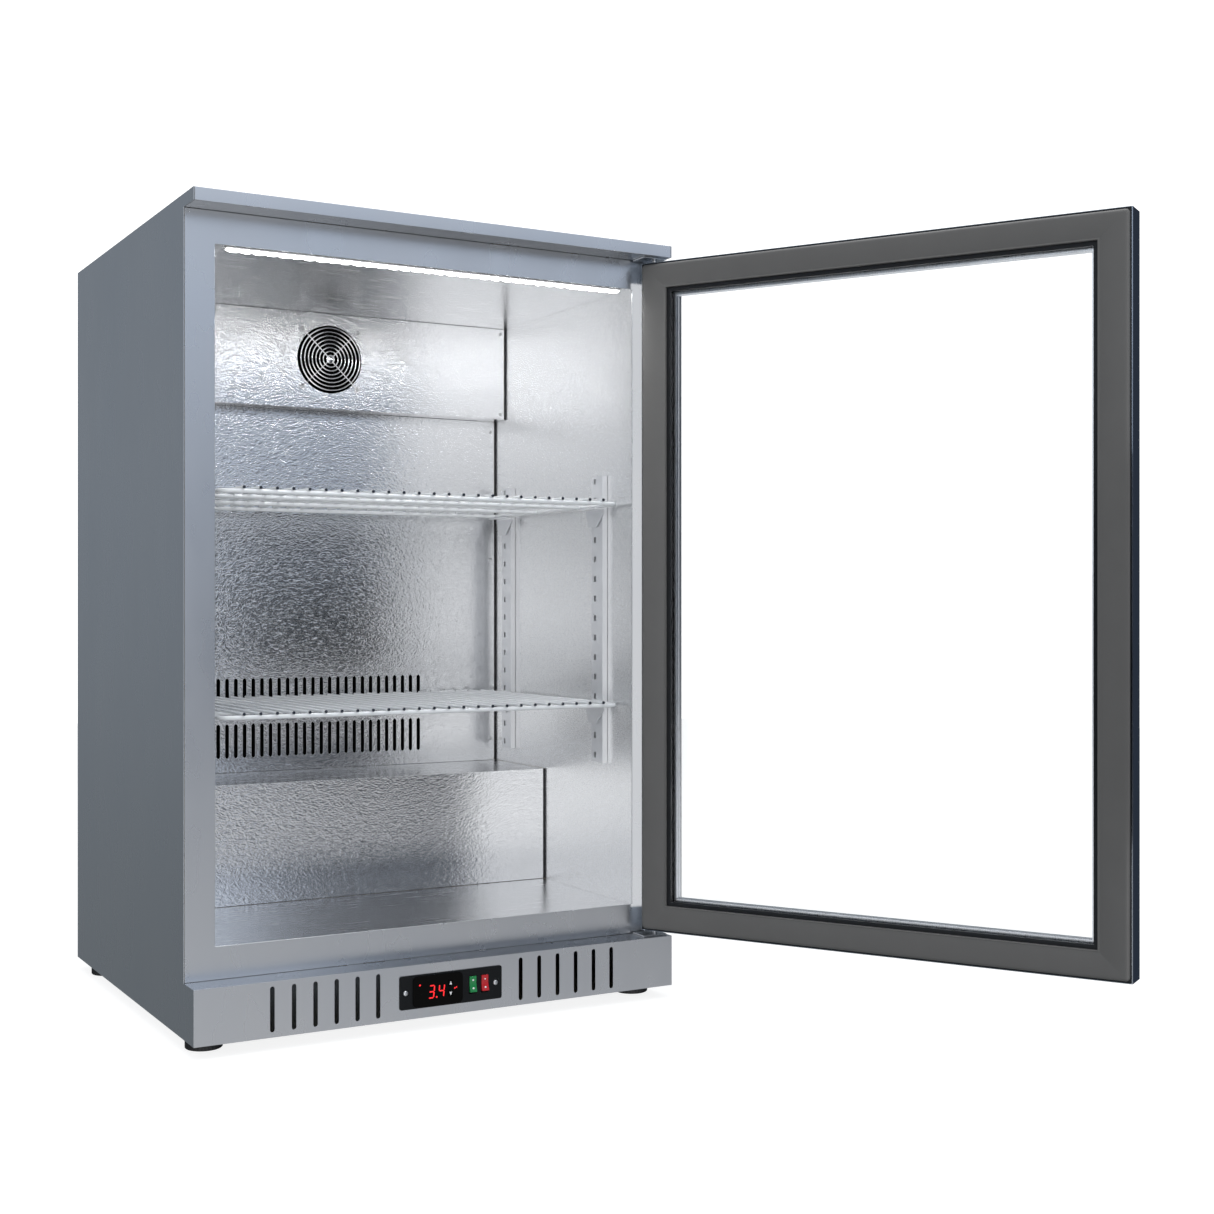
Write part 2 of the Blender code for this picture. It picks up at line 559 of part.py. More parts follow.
def build_controls(black, gloss, red, green, grey):
    face = FRONT - 1.5 * MM
    holes = [rect(-46 * MM, 12 * MM, 14.5 * MM, 44.5 * MM)]
    for _, x in ROCKERS:
        holes.append(rect(x - 4.7 * MM, x + 4.7 * MM, ROCKER_Z - 9.9 * MM, ROCKER_Z + 9.9 * MM))
    prism("control_bezel",
          rounded_rect(-BEZEL_HALF, BEZEL_HALF, BEZEL_Z[0], BEZEL_Z[1], [2.5 * MM] * 4), "Y",
          face, FRONT - GAP, black, holes)

    lens = FRONT - 3.0 * MM
    unit = prism("thermostat", rounded_rect(-47 * MM, 13 * MM, 12.5 * MM, 46.5 * MM, [5 * MM] * 4),
                 "Y", lens, face - GAP, gloss)
    body = box("thermostat_body", (-45 * MM, 11 * MM), (lens + 0.6 * MM, FRONT + 48 * MM),
               (15.5 * MM, 43.5 * MM), black)
    wells = bmesh.new()
    for _, z in KEYS:
        add_box(wells, (KEY_X - 2.6 * MM, KEY_X + 2.6 * MM), (lens - LAP, lens + 3.2 * MM),
                (z - 3 * MM, z + 3 * MM))
    cut(fuse(unit, body), link("key_wells", wells, black))
    for label, z in KEYS:
        about(box(f"key_{label}", (KEY_X - 2.2 * MM, KEY_X + 2.2 * MM),
                  (lens - 0.4 * MM, lens + 1.8 * MM), (z - 2.6 * MM, z + 2.6 * MM), grey),
              (KEY_X, lens, z))

    wide, tall = ROCKER_HALF
    profile = [(-5.2 * MM, -tall), (-3.6 * MM, 0), (-5.2 * MM, tall), (0.5 * MM, 0.8 * tall),
               (4 * MM, 0.3 * tall), (4 * MM, -0.3 * tall), (0.5 * MM, -0.8 * tall)]
    for (label, x), finish in zip(ROCKERS, (green, red)):
        paddle = prism(f"rocker_{label}", profile, "X", -wide, wide, finish)
        paddle.location = (x, FRONT + 2 * MM, ROCKER_Z)
        paddle.rotation_euler = (-ROCKER_TILT, 0, 0)


# ---- hinge and door ----

def build_hinges(steel):
    plate = rect(PIN_X - 22 * MM, HALF - 3 * MM, FRONT + 7 * MM, FACE - 3 * MM)
    depth = 14 * MM
    for name, low, high, tip in (("hinge_top", UNDER_CANOPY - GAP - 1.5 * MM, UNDER_CANOPY - GAP,
                                  DOOR_HIGH - depth),
                                 ("hinge_bottom", PLINTH_H + GAP, PLINTH_H + GAP + 1.5 * MM,
                                  DOOR_LOW + depth)):
        leaf = prism(name, plate, "Z", low, high, steel)
        ends = sorted((tip, (low + high) / 2))
        fuse(leaf, prism(f"{name}_pin", circle((PIN_X, PIN_Y), PIN_R, ROUND), "Z", *ends, steel))


def ring_holes(inset_side, inset_end, x, z):
    return rect(x[0] + inset_side, x[1] - inset_side, z[0] + inset_end, z[1] - inset_end)


def build_door(steel, black, grey, glass, aluminium):
    """Door pieces are drawn shut, with x and y counted from the hinge axis."""
    hinge = pivot("door_hinge_axis", (PIN_X, PIN_Y, 0), DOOR_OPEN)
    x = (PIN_TO_EDGE - DOOR_W, PIN_TO_EDGE)
    z = (DOOR_LOW, DOOR_HIGH)
    inner = PIN_TO_INNER
    outer = inner - DOOR_T
    radii = (1.5 * MM, 8 * MM, 2 * MM, 1.5 * MM)

    def plan(inset, reach):
        less = [max(r - inset, 0.5 * MM) for r in radii]
        return rounded_rect(x[0] + inset, x[1] - inset, outer + inset, reach, less, 4)

    shell = prism("door_shell", plan(0, inner), "Z", *z, steel, parent=hinge)
    hollow = prism("door_hollow", plan(SHEET, inner + LAP), "Z", z[0] + SHEET, z[1] - SHEET, steel,
                   parent=hinge)
    window = prism("door_window", ring_holes(FRAME_SIDE, FRAME_END, x, z), "Y", outer - LAP,
                   inner + LAP, steel, parent=hinge)
    bores = prism("pin_bores", circle((0, 0), PIN_R + 0.4 * MM, ROUND), "Z", z[0] - LAP, z[1] + LAP,
                  steel, parent=hinge)
    cut(shell, hollow, window, bores)

    skin = SHEET + GAP
    core = prism("door_core", plan(skin, inner - GAP), "Z", z[0] + skin, z[1] - skin, black,
                 parent=hinge)
    lip = prism("core_window", ring_holes(FRAME_SIDE + GAP, FRAME_END + GAP, x, z), "Y",
                outer - LAP, inner + LAP, black, parent=hinge)
    rebate = prism("core_rebate", ring_holes(29 * MM, 26 * MM, x, z), "Y", outer + 5.2 * MM,
                   inner - 5.2 * MM, black, parent=hinge)
    wells = prism("pin_wells", circle((0, 0), PIN_R + 0.8 * MM, ROUND), "Z", z[0] - LAP, z[1] + LAP,
                  black, parent=hinge)
    cut(core, lip, rebate, wells)

    pane = ring_holes(30 * MM, 27 * MM, x, z)
    levels = (outer + 5.5 * MM, outer + 9.5 * MM, outer + 21.8 * MM, outer + 25.8 * MM)
    prism("door_glass_outer", pane, "Y", levels[0], levels[1], glass, parent=hinge)
    prism("door_glass_inner", pane, "Y", levels[2], levels[3], glass, parent=hinge)
    prism("glass_spacer", ring_holes(32 * MM, 29 * MM, x, z), "Y", levels[1] + GAP, levels[2] - GAP,
          aluminium, [ring_holes(43.7 * MM, 40.2 * MM, x, z)], parent=hinge)

    base, crown = inner + GAP, inner + 3.9 * MM
    rings = ((2.5, 2.5, base), (7.0, 7.0, crown), (35.4, 32.1, crown), (35.4, 32.1, base))
    bm = bmesh.new()
    loops = [[bm.verts.new((a, level, b)) for a, b in ring_holes(side * MM, end * MM, x, z)]
             for side, end, level in rings]
    for i, loop in enumerate(loops):
        following = loops[(i + 1) % len(loops)]
        for j in range(4):
            k = (j + 1) % 4
            bm.faces.new([loop[j], loop[k], following[k], following[j]])
    link("door_gasket", bm, grey, hinge)


# ---- feet ----

def foot_places():
    return [(x, y) for y in (-FOOT_Y, FOOT_Y) for x in (-FOOT_X, FOOT_X)]


def build_feet(black):
    names = ("front_left", "front_right", "rear_left", "rear_right")
    profile = [(0, -FOOT_H), (FOOT_R - 2 * MM, -FOOT_H), (FOOT_R, -FOOT_H + 2 * MM),
               (FOOT_R, -3 * MM), (FOOT_R - 3 * MM, -0.4 * MM), (STEM_R, -0.4 * MM),
               (STEM_R, 24 * MM), (0, 24 * MM)]
    for name, (x, y) in zip(names, foot_places()):
        foot = turned(f"foot_{name}", profile, (0, 0, 0), "Z", black)
        foot.location = (x, y, 0)


def main():
    clear_scene()
    steel = material("brushed_steel", (0.60, 0.62, 0.65), 0.32, 1.0)
    aluminium = material("stucco_aluminium", (0.80, 0.81, 0.83), 0.28, 1.0)
    galvanised = material("galvanised", (0.55, 0.57, 0.58), 0.45, 1.0)
    chrome = material("bright_wire", (0.85, 0.85, 0.86), 0.15, 1.0)
    white = material("white_coating", (0.86, 0.87, 0.88), 0.35)
    foam = material("foam", (0.85, 0.78, 0.55), 0.9)
    black = material("black_plastic", (0.02, 0.02, 0.022), 0.4)
    gloss = material("gloss_black", (0.005, 0.005, 0.006), 0.08)
    grey = material("grey_gasket", (0.11, 0.11, 0.108), 0.5)
    red = material("red_plastic", (0.60, 0.03, 0.03), 0.3)
    green = material("green_plastic", (0.02, 0.35, 0.09), 0.3)
    lens = material("light_diffuser", (1.0, 1.0, 1.0), 0.3)
    glass = material("glass", (0.92, 0.96, 0.95), 0.02, 0.0, 0.2)

    build_casing(steel, galvanised)
    build_plinth(steel)
    build_machine_grille(galvanised, black)
    build_liner(aluminium, foam)
    build_fan_guard(chrome)
    build_evaporator(black, aluminium)
    build_machine(black, aluminium, galvanised)
    build_shelving(steel, white)
    build_light(white, lens)
    build_controls(black, gloss, red, green, grey)
    build_hinges(steel)
    build_door(steel, black, grey, glass, aluminium)
    build_feet(black)
    for obj in bpy.context.scene.objects:
        if obj.type == "MESH":
            obj.data.shade_smooth()
            obj.data.set_sharp_from_angle(angle=math.radians(30))


main()
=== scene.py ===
# %% [markdown]
# # Undercounter refrigerator: the looks
# This lesson dresses a finished engineering model of a small bar refrigerator. The model already
# has every part at its true size and place, so here each part gets its rounded edges, its fine
# detail and its finish. Everything is in metres: +X to the right, +Y to the back, +Z up.

# %% Load the engineering model
import json
import math

import bmesh
import bpy
from mathutils import Matrix, Vector


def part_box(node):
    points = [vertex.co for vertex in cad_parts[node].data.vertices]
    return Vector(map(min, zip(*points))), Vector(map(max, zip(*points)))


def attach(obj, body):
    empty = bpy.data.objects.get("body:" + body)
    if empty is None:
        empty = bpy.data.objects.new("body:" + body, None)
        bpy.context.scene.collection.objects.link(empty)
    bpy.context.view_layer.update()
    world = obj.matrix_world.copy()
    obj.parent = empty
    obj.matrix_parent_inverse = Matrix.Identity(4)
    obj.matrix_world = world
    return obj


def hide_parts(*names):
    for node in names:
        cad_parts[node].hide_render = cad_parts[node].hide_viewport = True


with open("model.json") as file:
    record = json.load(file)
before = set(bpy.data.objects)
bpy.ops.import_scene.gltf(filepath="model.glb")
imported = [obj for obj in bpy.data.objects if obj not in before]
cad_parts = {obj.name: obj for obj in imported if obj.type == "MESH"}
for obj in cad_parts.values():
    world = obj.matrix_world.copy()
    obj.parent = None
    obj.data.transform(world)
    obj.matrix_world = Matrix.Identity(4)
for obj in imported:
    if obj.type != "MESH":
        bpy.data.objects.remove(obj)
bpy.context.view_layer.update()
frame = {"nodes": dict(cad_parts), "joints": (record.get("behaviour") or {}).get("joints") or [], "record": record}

MM = 0.001
record = frame["record"]
body_of = {node: body for body, members in record["behaviour"]["bodies"].items() for node in members}

# %% [markdown]
# ## Finishes
# A finish is a shader with a pattern behind it. Sheet steel could be one flat grey, but then it
# looks like plastic: real metal shows itself by how it blurs what it mirrors. So each finish
# starts from a plain shader, and small helpers add a pattern fixed to the part, in real
# millimetres, that varies its colour, its gloss or its surface.

# %% Helpers for finishes
def finish(name, colour, roughness, metallic=0.0, **constants):
    """A new shader with the constants set on its own sockets."""
    made = bpy.data.materials.new(name)
    made.use_nodes = True
    shader = made.node_tree.nodes["Principled BSDF"]
    values = {"Base Color": (*colour, 1.0), "Roughness": roughness, "Metallic": metallic}
    for socket, value in {**values, **constants}.items():
        shader.inputs[socket.replace("_", " ")].default_value = value
    return made


def pattern(made, size_mm, kind="NOISE", detail=2.0, wander=0.0):
    """A pattern fixed to the part; size_mm is its grain along X, Y and Z."""
    tree = made.node_tree
    where = tree.nodes.new("ShaderNodeTexCoord")
    stretch = tree.nodes.new("ShaderNodeMapping")
    stretch.inputs["Scale"].default_value = [1 / (size * MM) for size in size_mm]
    tree.links.new(where.outputs["Object"], stretch.inputs["Vector"])
    if kind == "CELLS":
        texture = tree.nodes.new("ShaderNodeTexVoronoi")
        texture.inputs["Scale"].default_value = 1.0
        result = texture.outputs["Color"]
    else:
        texture = tree.nodes.new("ShaderNodeTexNoise")
        texture.inputs["Scale"].default_value = 1.0
        texture.inputs["Detail"].default_value = detail
        texture.inputs["Distortion"].default_value = wander
        result = texture.outputs["Fac"]
    tree.links.new(stretch.outputs["Vector"], texture.inputs["Vector"])
    return result


def vary(made, source, socket, low, high, reach=(0.25, 0.75)):
    """Lets a pattern move a number or a colour of the shader between low and high."""
    tree = made.node_tree
    target = tree.nodes["Principled BSDF"].inputs[socket]
    spread = tree.nodes.new("ShaderNodeMapRange")
    spread.inputs["From Min"].default_value, spread.inputs["From Max"].default_value = reach
    tree.links.new(source, spread.inputs["Value"])
    if isinstance(low, tuple):
        blend = tree.nodes.new("ShaderNodeMix")
        blend.data_type = "RGBA"
        blend.inputs["A"].default_value = (*low, 1.0)
        blend.inputs["B"].default_value = (*high, 1.0)
        tree.links.new(spread.outputs["Result"], blend.inputs["Factor"])
        tree.links.new(blend.outputs["Result"], target)
    else:
        spread.inputs["To Min"].default_value, spread.inputs["To Max"].default_value = low, high
        tree.links.new(spread.outputs["Result"], target)


def relief(made, source, depth_mm, strength=1.0):
    """Lets a pattern raise and sink the surface by a depth in millimetres."""
    tree = made.node_tree
    bump = tree.nodes.new("ShaderNodeBump")
    bump.inputs["Strength"].default_value = strength
    bump.inputs["Distance"].default_value = depth_mm * MM
    tree.links.new(source, bump.inputs["Height"])
    tree.links.new(bump.outputs["Normal"], tree.nodes["Principled BSDF"].inputs["Normal"])


print("helpers: finish, pattern, vary, relief")

# %% [markdown]
# ### Satin stainless sheet
# The casing, the face frame and the plinth are stainless steel with a bead-blasted satin skin.
# It has no direction, so one could leave it plain, but handling and rolling always leave soft
# clouds in the gloss. Two slow patterns do that: one moves the blur, one the colour. The door's
# outer shell is the same kind of sheet, a little glossier; its colour is made darker and bluer,
# a painted reflection of the dark that its edge mirrors.

# %% Satin stainless sheet
satin_steel = finish("satin_steel", (0.60, 0.62, 0.65), 0.27, 1.0)
vary(satin_steel, pattern(satin_steel, (45, 45, 90), detail=3.0), "Roughness", 0.25, 0.31)
vary(satin_steel, pattern(satin_steel, (160, 160, 260)), "Base Color",
     (0.585, 0.61, 0.645), (0.625, 0.64, 0.665))

# Painted reflection: the door's steel is darker and bluer than the casing's, standing for the dark that its edge
# mirrors.
door_steel_painted_reflection = finish("door_steel_painted_reflection", (0.42, 0.46, 0.51), 0.20, 1.0)
vary(door_steel_painted_reflection, pattern(door_steel_painted_reflection, (45, 45, 90), detail=3.0), "Roughness", 0.18, 0.24)
print("satin steel: clouds 45 to 260 mm across")

# %% [markdown]
# ### Stucco-embossed aluminium
# The inside is lined with aluminium rolled between patterned cylinders. The dimples hide
# scratches and spread the light. They are 4 to 7 mm long and a few tenths of a millimetre deep.
# Cutting that into the mesh would take millions of faces, so it is a relief: a wandering noise,
# pressed hard on the panels and lightly on the side walls.

# %% Stucco-embossed aluminium
def stucco(name, colour, roughness, depth_mm, size_mm):
    """Ridges of a given size, twice as long as they are high, pressed to a given depth."""
    made = finish(name, colour, roughness, 1.0)
    long_and_low = (1.5 * size_mm, 1.5 * size_mm, 0.8 * size_mm)
    relief(made, pattern(made, long_and_low, detail=1.0, wander=1.6), depth_mm)
    vary(made, pattern(made, (0.6, 0.6, 0.6)), "Roughness", roughness - 0.03, roughness + 0.04)
    return made


stucco_panel = stucco("stucco_panel", (0.80, 0.81, 0.825), 0.21, 0.34, 4.8)
stucco_wall = stucco("stucco_wall", (0.87, 0.875, 0.88), 0.27, 0.22, 4.4)
smooth_liner = finish("smooth_liner", (0.86, 0.865, 0.88), 0.26, 1.0)
vary(smooth_liner, pattern(smooth_liner, (60, 3, 3), detail=3.0), "Roughness", 0.24, 0.28)
relief(smooth_liner, pattern(smooth_liner, (60, 60, 60)), 0.04, 0.2)
print("stucco: ridges about 5 mm apart on panels, finer and shallower on walls")

# %% [markdown]
# ### Galvanised sheet, wire and fins
# The back and the base are zinc-coated steel, which shows a spangle: flat crystals a centimetre
# or so across, each mirroring the room a little differently. A cell pattern gives one random
# value to each crystal.

# %% Galvanised sheet, wire and fins
galvanised = finish("galvanised", (0.52, 0.54, 0.55), 0.42, 1.0)
vary(galvanised, pattern(galvanised, (11, 11, 11), "CELLS"), "Base Color",
     (0.46, 0.485, 0.50), (0.60, 0.615, 0.625), (0.0, 1.0))
vary(galvanised, pattern(galvanised, (11, 11, 11), "CELLS"), "Roughness", 0.36, 0.50, (0.0, 1.0))

bright_wire = finish("bright_wire", (0.86, 0.86, 0.88), 0.16, 1.0)
vary(bright_wire, pattern(bright_wire, (3, 3, 3)), "Roughness", 0.12, 0.22)
zinc_screw = finish("zinc_screw", (0.66, 0.67, 0.68), 0.28, 1.0)
vary(zinc_screw, pattern(zinc_screw, (0.8, 0.8, 0.8)), "Roughness", 0.2, 0.38)
fin_foil = finish("fin_foil", (0.76, 0.77, 0.79), 0.3, 1.0)
vary(fin_foil, pattern(fin_foil, (2, 2, 2)), "Roughness", 0.22, 0.42)
copper = finish("copper", (0.72, 0.36, 0.22), 0.28, 1.0)
vary(copper, pattern(copper, (6, 6, 6), detail=4.0), "Base Color", (0.50, 0.24, 0.15),
     (0.78, 0.42, 0.27))
spacer_bar = finish("spacer_bar", (0.62, 0.64, 0.68), 0.3, 1.0)
vary(spacer_bar, pattern(spacer_bar, (0.4, 0.4, 12)), "Roughness", 0.24, 0.36)
wire_end = finish("wire_end", (0.012, 0.018, 0.032), 0.5)
vary(wire_end, pattern(wire_end, (0.7, 0.7, 0.7)), "Roughness", 0.35, 0.6)
print("spangle cells 11 mm")

# %% [markdown]
# ### Coatings and plastics
# The shelves are dipped in a white coating, smooth but with a faint orange peel. The mouldings
# are black and only half gloss, which takes a fine spark-eroded texture. The display window is
# polished, and the door seal is a soft grey extrusion with a dry surface. Parts deep in the air
# duct are near black and quite matt, so that they stay dark behind the guard and the slots; on
# the back wall of the duct that near black is painted shade, for the dark deep in the duct.

# %% Coatings and plastics
def moulded(name, colour, roughness, texture_mm=0.5, depth_mm=0.02, lift=1.35, **constants):
    """A moulded or coated surface: fine texture, and a colour that isn't quite even."""
    made = finish(name, colour, roughness, **constants)
    relief(made, pattern(made, (texture_mm,) * 3, detail=2.0), depth_mm, 0.5)
    light = tuple(min(1.0, channel * lift) for channel in colour)
    vary(made, pattern(made, (35, 35, 35), detail=4.0), "Base Color", colour, light)
    return made


coated_wire = moulded("coated_wire", (0.80, 0.82, 0.84), 0.22, 1.4, 0.02, 1.06, Coat_Weight=0.5)
strip_coating = moulded("strip_coating", (0.82, 0.83, 0.85), 0.3, 1.2, 0.015, 1.06, Metallic=0.7)
black_plastic = moulded("black_plastic", (0.005, 0.006, 0.007), 0.42, Specular_IOR_Level=0.2)
# Painted shade: the duct's back wall is made near black to stand for the dark deep in the duct.
duct_lining_painted_shade = moulded("duct_lining_painted_shade", (0.004, 0.004, 0.004), 0.9, 2.0, 0.2, Specular_IOR_Level=0.1)
fan_plastic = moulded("fan_plastic", (0.002, 0.002, 0.002), 0.8, Specular_IOR_Level=0.05)
coil_coating = moulded("coil_coating", (0.006, 0.006, 0.007), 0.7, Specular_IOR_Level=0.15)
black_enamel = moulded("black_enamel", (0.010, 0.010, 0.011), 0.3, 1.5, 0.03)
foot_plastic = moulded("foot_plastic", (0.014, 0.014, 0.015), 0.55, 0.8, 0.04)
seal_grey = moulded("seal_grey", (0.125, 0.123, 0.120), 0.46, 0.35, 0.012, 1.06)
seal_black = moulded("seal_black", (0.010, 0.011, 0.013), 0.38)
key_plastic = moulded("key_plastic", (0.002, 0.002, 0.002), 0.3, Specular_IOR_Level=0.1)
rocker_green_plastic = moulded("rocker_green_plastic", (0.010, 0.20, 0.055), 0.25, 0.5, 0.01)
rocker_red_plastic = moulded("rocker_red_plastic", (0.42, 0.012, 0.018), 0.25, 0.5, 0.01)
print_white = moulded("print_white", (0.82, 0.82, 0.82), 0.5, 0.3, 0.01, 1.05)
channel_white = moulded("channel_white", (0.86, 0.86, 0.86), 0.4, 0.8, 0.01, 1.05)
foam = moulded("foam", (0.72, 0.60, 0.34), 0.95, 1.1, 0.35, 1.15)

display_window = finish("display_window", (0.001, 0.001, 0.001), 0.07, Specular_IOR_Level=0.08)
vary(display_window, pattern(display_window, (9, 9, 9)), "Roughness", 0.05, 0.10)
print("black mouldings, grey seal, white coating")

# %% [markdown]
# ### Glass and things that glow
# The door is double glazed: two clear panes with a faint green body, seen best at their edges.
# The lamp strip and the digits give light themselves, so their shaders emit.

# %% Glass and things that glow
pane_glass = finish("pane_glass", (0.995, 1.0, 0.998), 0.0, Transmission_Weight=1.0, IOR=1.45)
vary(pane_glass, pattern(pane_glass, (400, 400, 400)), "Roughness", 0.0, 0.004)


def glowing(name, colour, strength, size_mm):
    """A surface that gives light, a little unevenly."""
    made = finish(name, colour, 0.35, Emission_Strength=strength)
    dim = tuple(channel * 0.8 for channel in colour)
    vary(made, pattern(made, (size_mm,) * 3), "Emission Color", dim, colour)
    return made


lamp_lens = glowing("lamp_lens", (1.0, 1.0, 0.99), 24.0, 14)
digit_red = glowing("digit_red", (1.0, 0.02, 0.025), 0.85, 3)
print("lamp and digits glow")

# %% [markdown]
# ## Turning a plain solid into a made part
# A punched and folded sheet never has a knife edge: its bends have a radius and its cut edges
# are broken. That rounding is what catches the bright lines along a metal cabinet. The plain
# solid from the engineering model is copied, its triangles are merged back into whole faces, its
# edges get a small bevel, and its shading is weighted by face area so flat panels stay flat.

# %% Build and refine helpers
SHADE_ANGLE = math.radians(35)
made_pieces = []


def link_piece(name, shape, finishes, like, stands_for=(), edge_mm=0.0, steps=2):
    """Turns a bmesh into a piece that rides with, and may stand for, parts of the model."""
    bmesh.ops.recalc_face_normals(shape, faces=shape.faces)
    mesh = bpy.data.meshes.new(name)
    shape.to_mesh(mesh)
    shape.free()
    for one in finishes:
        mesh.materials.append(one)
    mesh.shade_smooth()
    piece = bpy.data.objects.new(name, mesh)
    bpy.context.scene.collection.objects.link(piece)
    if edge_mm:
        bevel = piece.modifiers.new("broken_edges", "BEVEL")
        bevel.width = edge_mm * MM
        bevel.segments = steps
        bevel.limit_method = "ANGLE"
        bevel.angle_limit = SHADE_ANGLE
        weigh = piece.modifiers.new("flat_faces", "WEIGHTED_NORMAL")
        weigh.weight = 90
    else:
        mesh.set_sharp_from_angle(angle=SHADE_ANGLE)
    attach(piece, body_of[like])
    if stands_for:
        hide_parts(*stands_for)
    made_pieces.append(name)
    return piece


def refine(node, made, edge_mm, steps=2, level=None):
    """Copies a part of the model with whole faces and broken edges. Level faces may differ."""
    shape = bmesh.new()
    shape.from_mesh(frame["nodes"][node].data)
    bmesh.ops.remove_doubles(shape, verts=shape.verts, dist=0.002 * MM)
    bmesh.ops.dissolve_limit(shape, angle_limit=math.radians(0.5), verts=shape.verts,
                             edges=shape.edges, delimit=set())
    for face in shape.faces:
        face.material_index = int(bool(level) and abs(face.normal.z) > 0.9)
    finishes = [made, level] if level else [made]
    return link_piece(f"{node}_made", shape, finishes, node, [node], edge_mm, steps)


print("smooth edges up to", round(math.degrees(SHADE_ANGLE)), "degrees")

# %% [markdown]
# ## Casing
# Two side panels, a folded top with its canopy, a face frame round the opening, a plinth with
# air slots, and a back and base of zinc-coated sheet. All are folded sheet, so each one is
# refined with a small edge radius. A wider radius would eat the one-millimetre thickness.

# %% Casing
for node in ("side_panel_left", "side_panel_right", "front_frame"):
    refine(node, satin_steel, 0.35)
refine("top_panel", satin_steel, 0.45)
refine("plinth_panel", satin_steel, 0.35)
for node in ("back_panel", "base_pan", "rear_grille"):
    refine(node, galvanised, 0.25, 1)
refine("insulation", foam, 0.5, 1)
print("casing:", len(made_pieces), "pieces")

# %% [markdown]
# ## Cold space
# The liner is stucco sheet. Its floor, its ceiling and the top of the ledge over the machine
# are smoother, because those faces get wiped. The air duct behind the covers is lined with black
# board, and its near black is painted shade: it stands for the dark deep in the duct. The covers
# stop short of the side walls, and a bead of black sealant fills each joint.
# The bead is a bar with a round front, drawn as an arc and run up the joint.

# %% Cold space
for node in ("liner_left", "liner_right"):
    refine(node, stucco_wall, 0.3)
for node in ("liner_ceiling", "liner_floor"):
    refine(node, smooth_liner, 0.25)
# Painted shade: the back wall of the duct is near black for the dark deep in the duct.
refine("liner_back", duct_lining_painted_shade, 0.25, 1)
for node in ("compressor_hump", "rear_duct_panel", "evaporator_cover"):
    refine(node, stucco_panel, 0.35, 2, smooth_liner)


def add_bead(shape, x0, x1, front, z0, z1, round_by):
    """An upright sealant bead between x0 and x1, its face bulging forward of front."""
    outline = [(x0 + (x1 - x0) * t / 6, front - round_by * math.sin(math.pi * t / 6))
               for t in range(7)]
    outline += [(x1, front + 0.8 * MM), (x0, front + 0.8 * MM)]
    rings = [[shape.verts.new((a, b, z)) for a, b in outline] for z in (z0, z1)]
    for k in range(len(outline)):
        m = (k + 1) % len(outline)
        shape.faces.new((rings[0][k], rings[0][m], rings[1][m], rings[1][k]))
    shape.faces.new(rings[0])
    shape.faces.new(rings[1])


beads = bmesh.new()
wall_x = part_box("liner_right")[0].x
gaps_below = {"evaporator_cover": 0.2, "rear_duct_panel": 0.5, "compressor_hump": 0.2}
for node, low_gap in gaps_below.items():
    low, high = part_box(node)
    for side in (-1, 1):
        x0, x1 = sorted((side * (high.x - 1.2 * MM), side * (wall_x - 0.05 * MM)))
        add_bead(beads, x0, x1, low.y - 0.05 * MM, low.z + low_gap * MM, high.z - 0.2 * MM,
                 0.25 * MM)

# The seventh bead lies along the foot of the ledge: drawn upright, then turned on its side.
foot_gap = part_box("compressor_hump")[0]
floor_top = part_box("liner_floor")[1].z
already = len(beads.verts)
add_bead(beads, -floor_top, -foot_gap.z, foot_gap.y - 0.05 * MM, -wall_x + 2 * MM,
         wall_x - 2 * MM, 0.12 * MM)
beads.verts.ensure_lookup_table()
for vertex in beads.verts[already:]:
    x, y, z = vertex.co
    vertex.co = (z, y, -x)
link_piece("sealant_beads", beads, [seal_black], "liner_right")
print("cold space lined, seven sealant beads")

# %% [markdown]
# ## Round bars and wire
# Wire goods are round bars bent and welded together. A curve with a bevel could draw them, but
# one function that sweeps a ring of points along a path gives meshes that can be merged, capped
# and measured. Parallel rings are carried from point to point without twisting.

# %% Rod helper
def add_rod(shape, path, radius, sides=12, closed=False, slot=0):
    """Sweeps a round bar along a path, with flat ends unless it closes on itself."""
    points = [Vector(point) for point in path]
    count = len(points)
    rings, across = [], None
    for i, point in enumerate(points):
        before = points[i - 1] if closed or i else point
        after = points[(i + 1) % count] if closed or i < count - 1 else point
        along = (after - before).normalized()
        if across is None:
            across = along.orthogonal().normalized()
        across = (across - along * across.dot(along)).normalized()
        other = along.cross(across)
        turns = [math.tau * k / sides for k in range(sides)]
        rings.append([shape.verts.new(point + (across * math.cos(t) + other * math.sin(t)) * radius)
                      for t in turns])
    pairs = list(zip(rings, rings[1:])) + ([(rings[-1], rings[0])] if closed else [])
    faces = []
    for one, two in pairs:
        for k in range(sides):
            m = (k + 1) % sides
            faces.append(shape.faces.new((one[k], one[m], two[m], two[k])))
    if not closed:
        faces.append(shape.faces.new(rings[0][::-1]))
        faces.append(shape.faces.new(rings[-1]))
    for face in faces:
        face.material_index = slot


def arc(centre, radius, start, end, steps):
    """Points on an arc in a plane, angles in degrees."""
    turns = [math.radians(start + (end - start) * i / steps) for i in range(steps + 1)]
    return [(centre[0] + radius * math.cos(t), centre[1] + radius * math.sin(t)) for t in turns]


def rounded(a0, a1, b0, b1, radius, steps=6):
    """A rectangle with round corners, drawn once round."""
    corners = (((a0 + radius, b0 + radius), 180), ((a1 - radius, b0 + radius), 270),
               ((a1 - radius, b1 - radius), 0), ((a0 + radius, b1 - radius), 90))
    return [point for centre, start in corners
            for point in arc(centre, radius, start, start + 90, steps)]


print("helpers: add_rod, arc, rounded")

# %% [markdown]
# ## Turned shapes
# Domes, hubs, nuts and feet are round about one axis, as if made on a lathe. A list of radii and
# heights is spun about that axis. Where the radius is zero, one point closes the end.

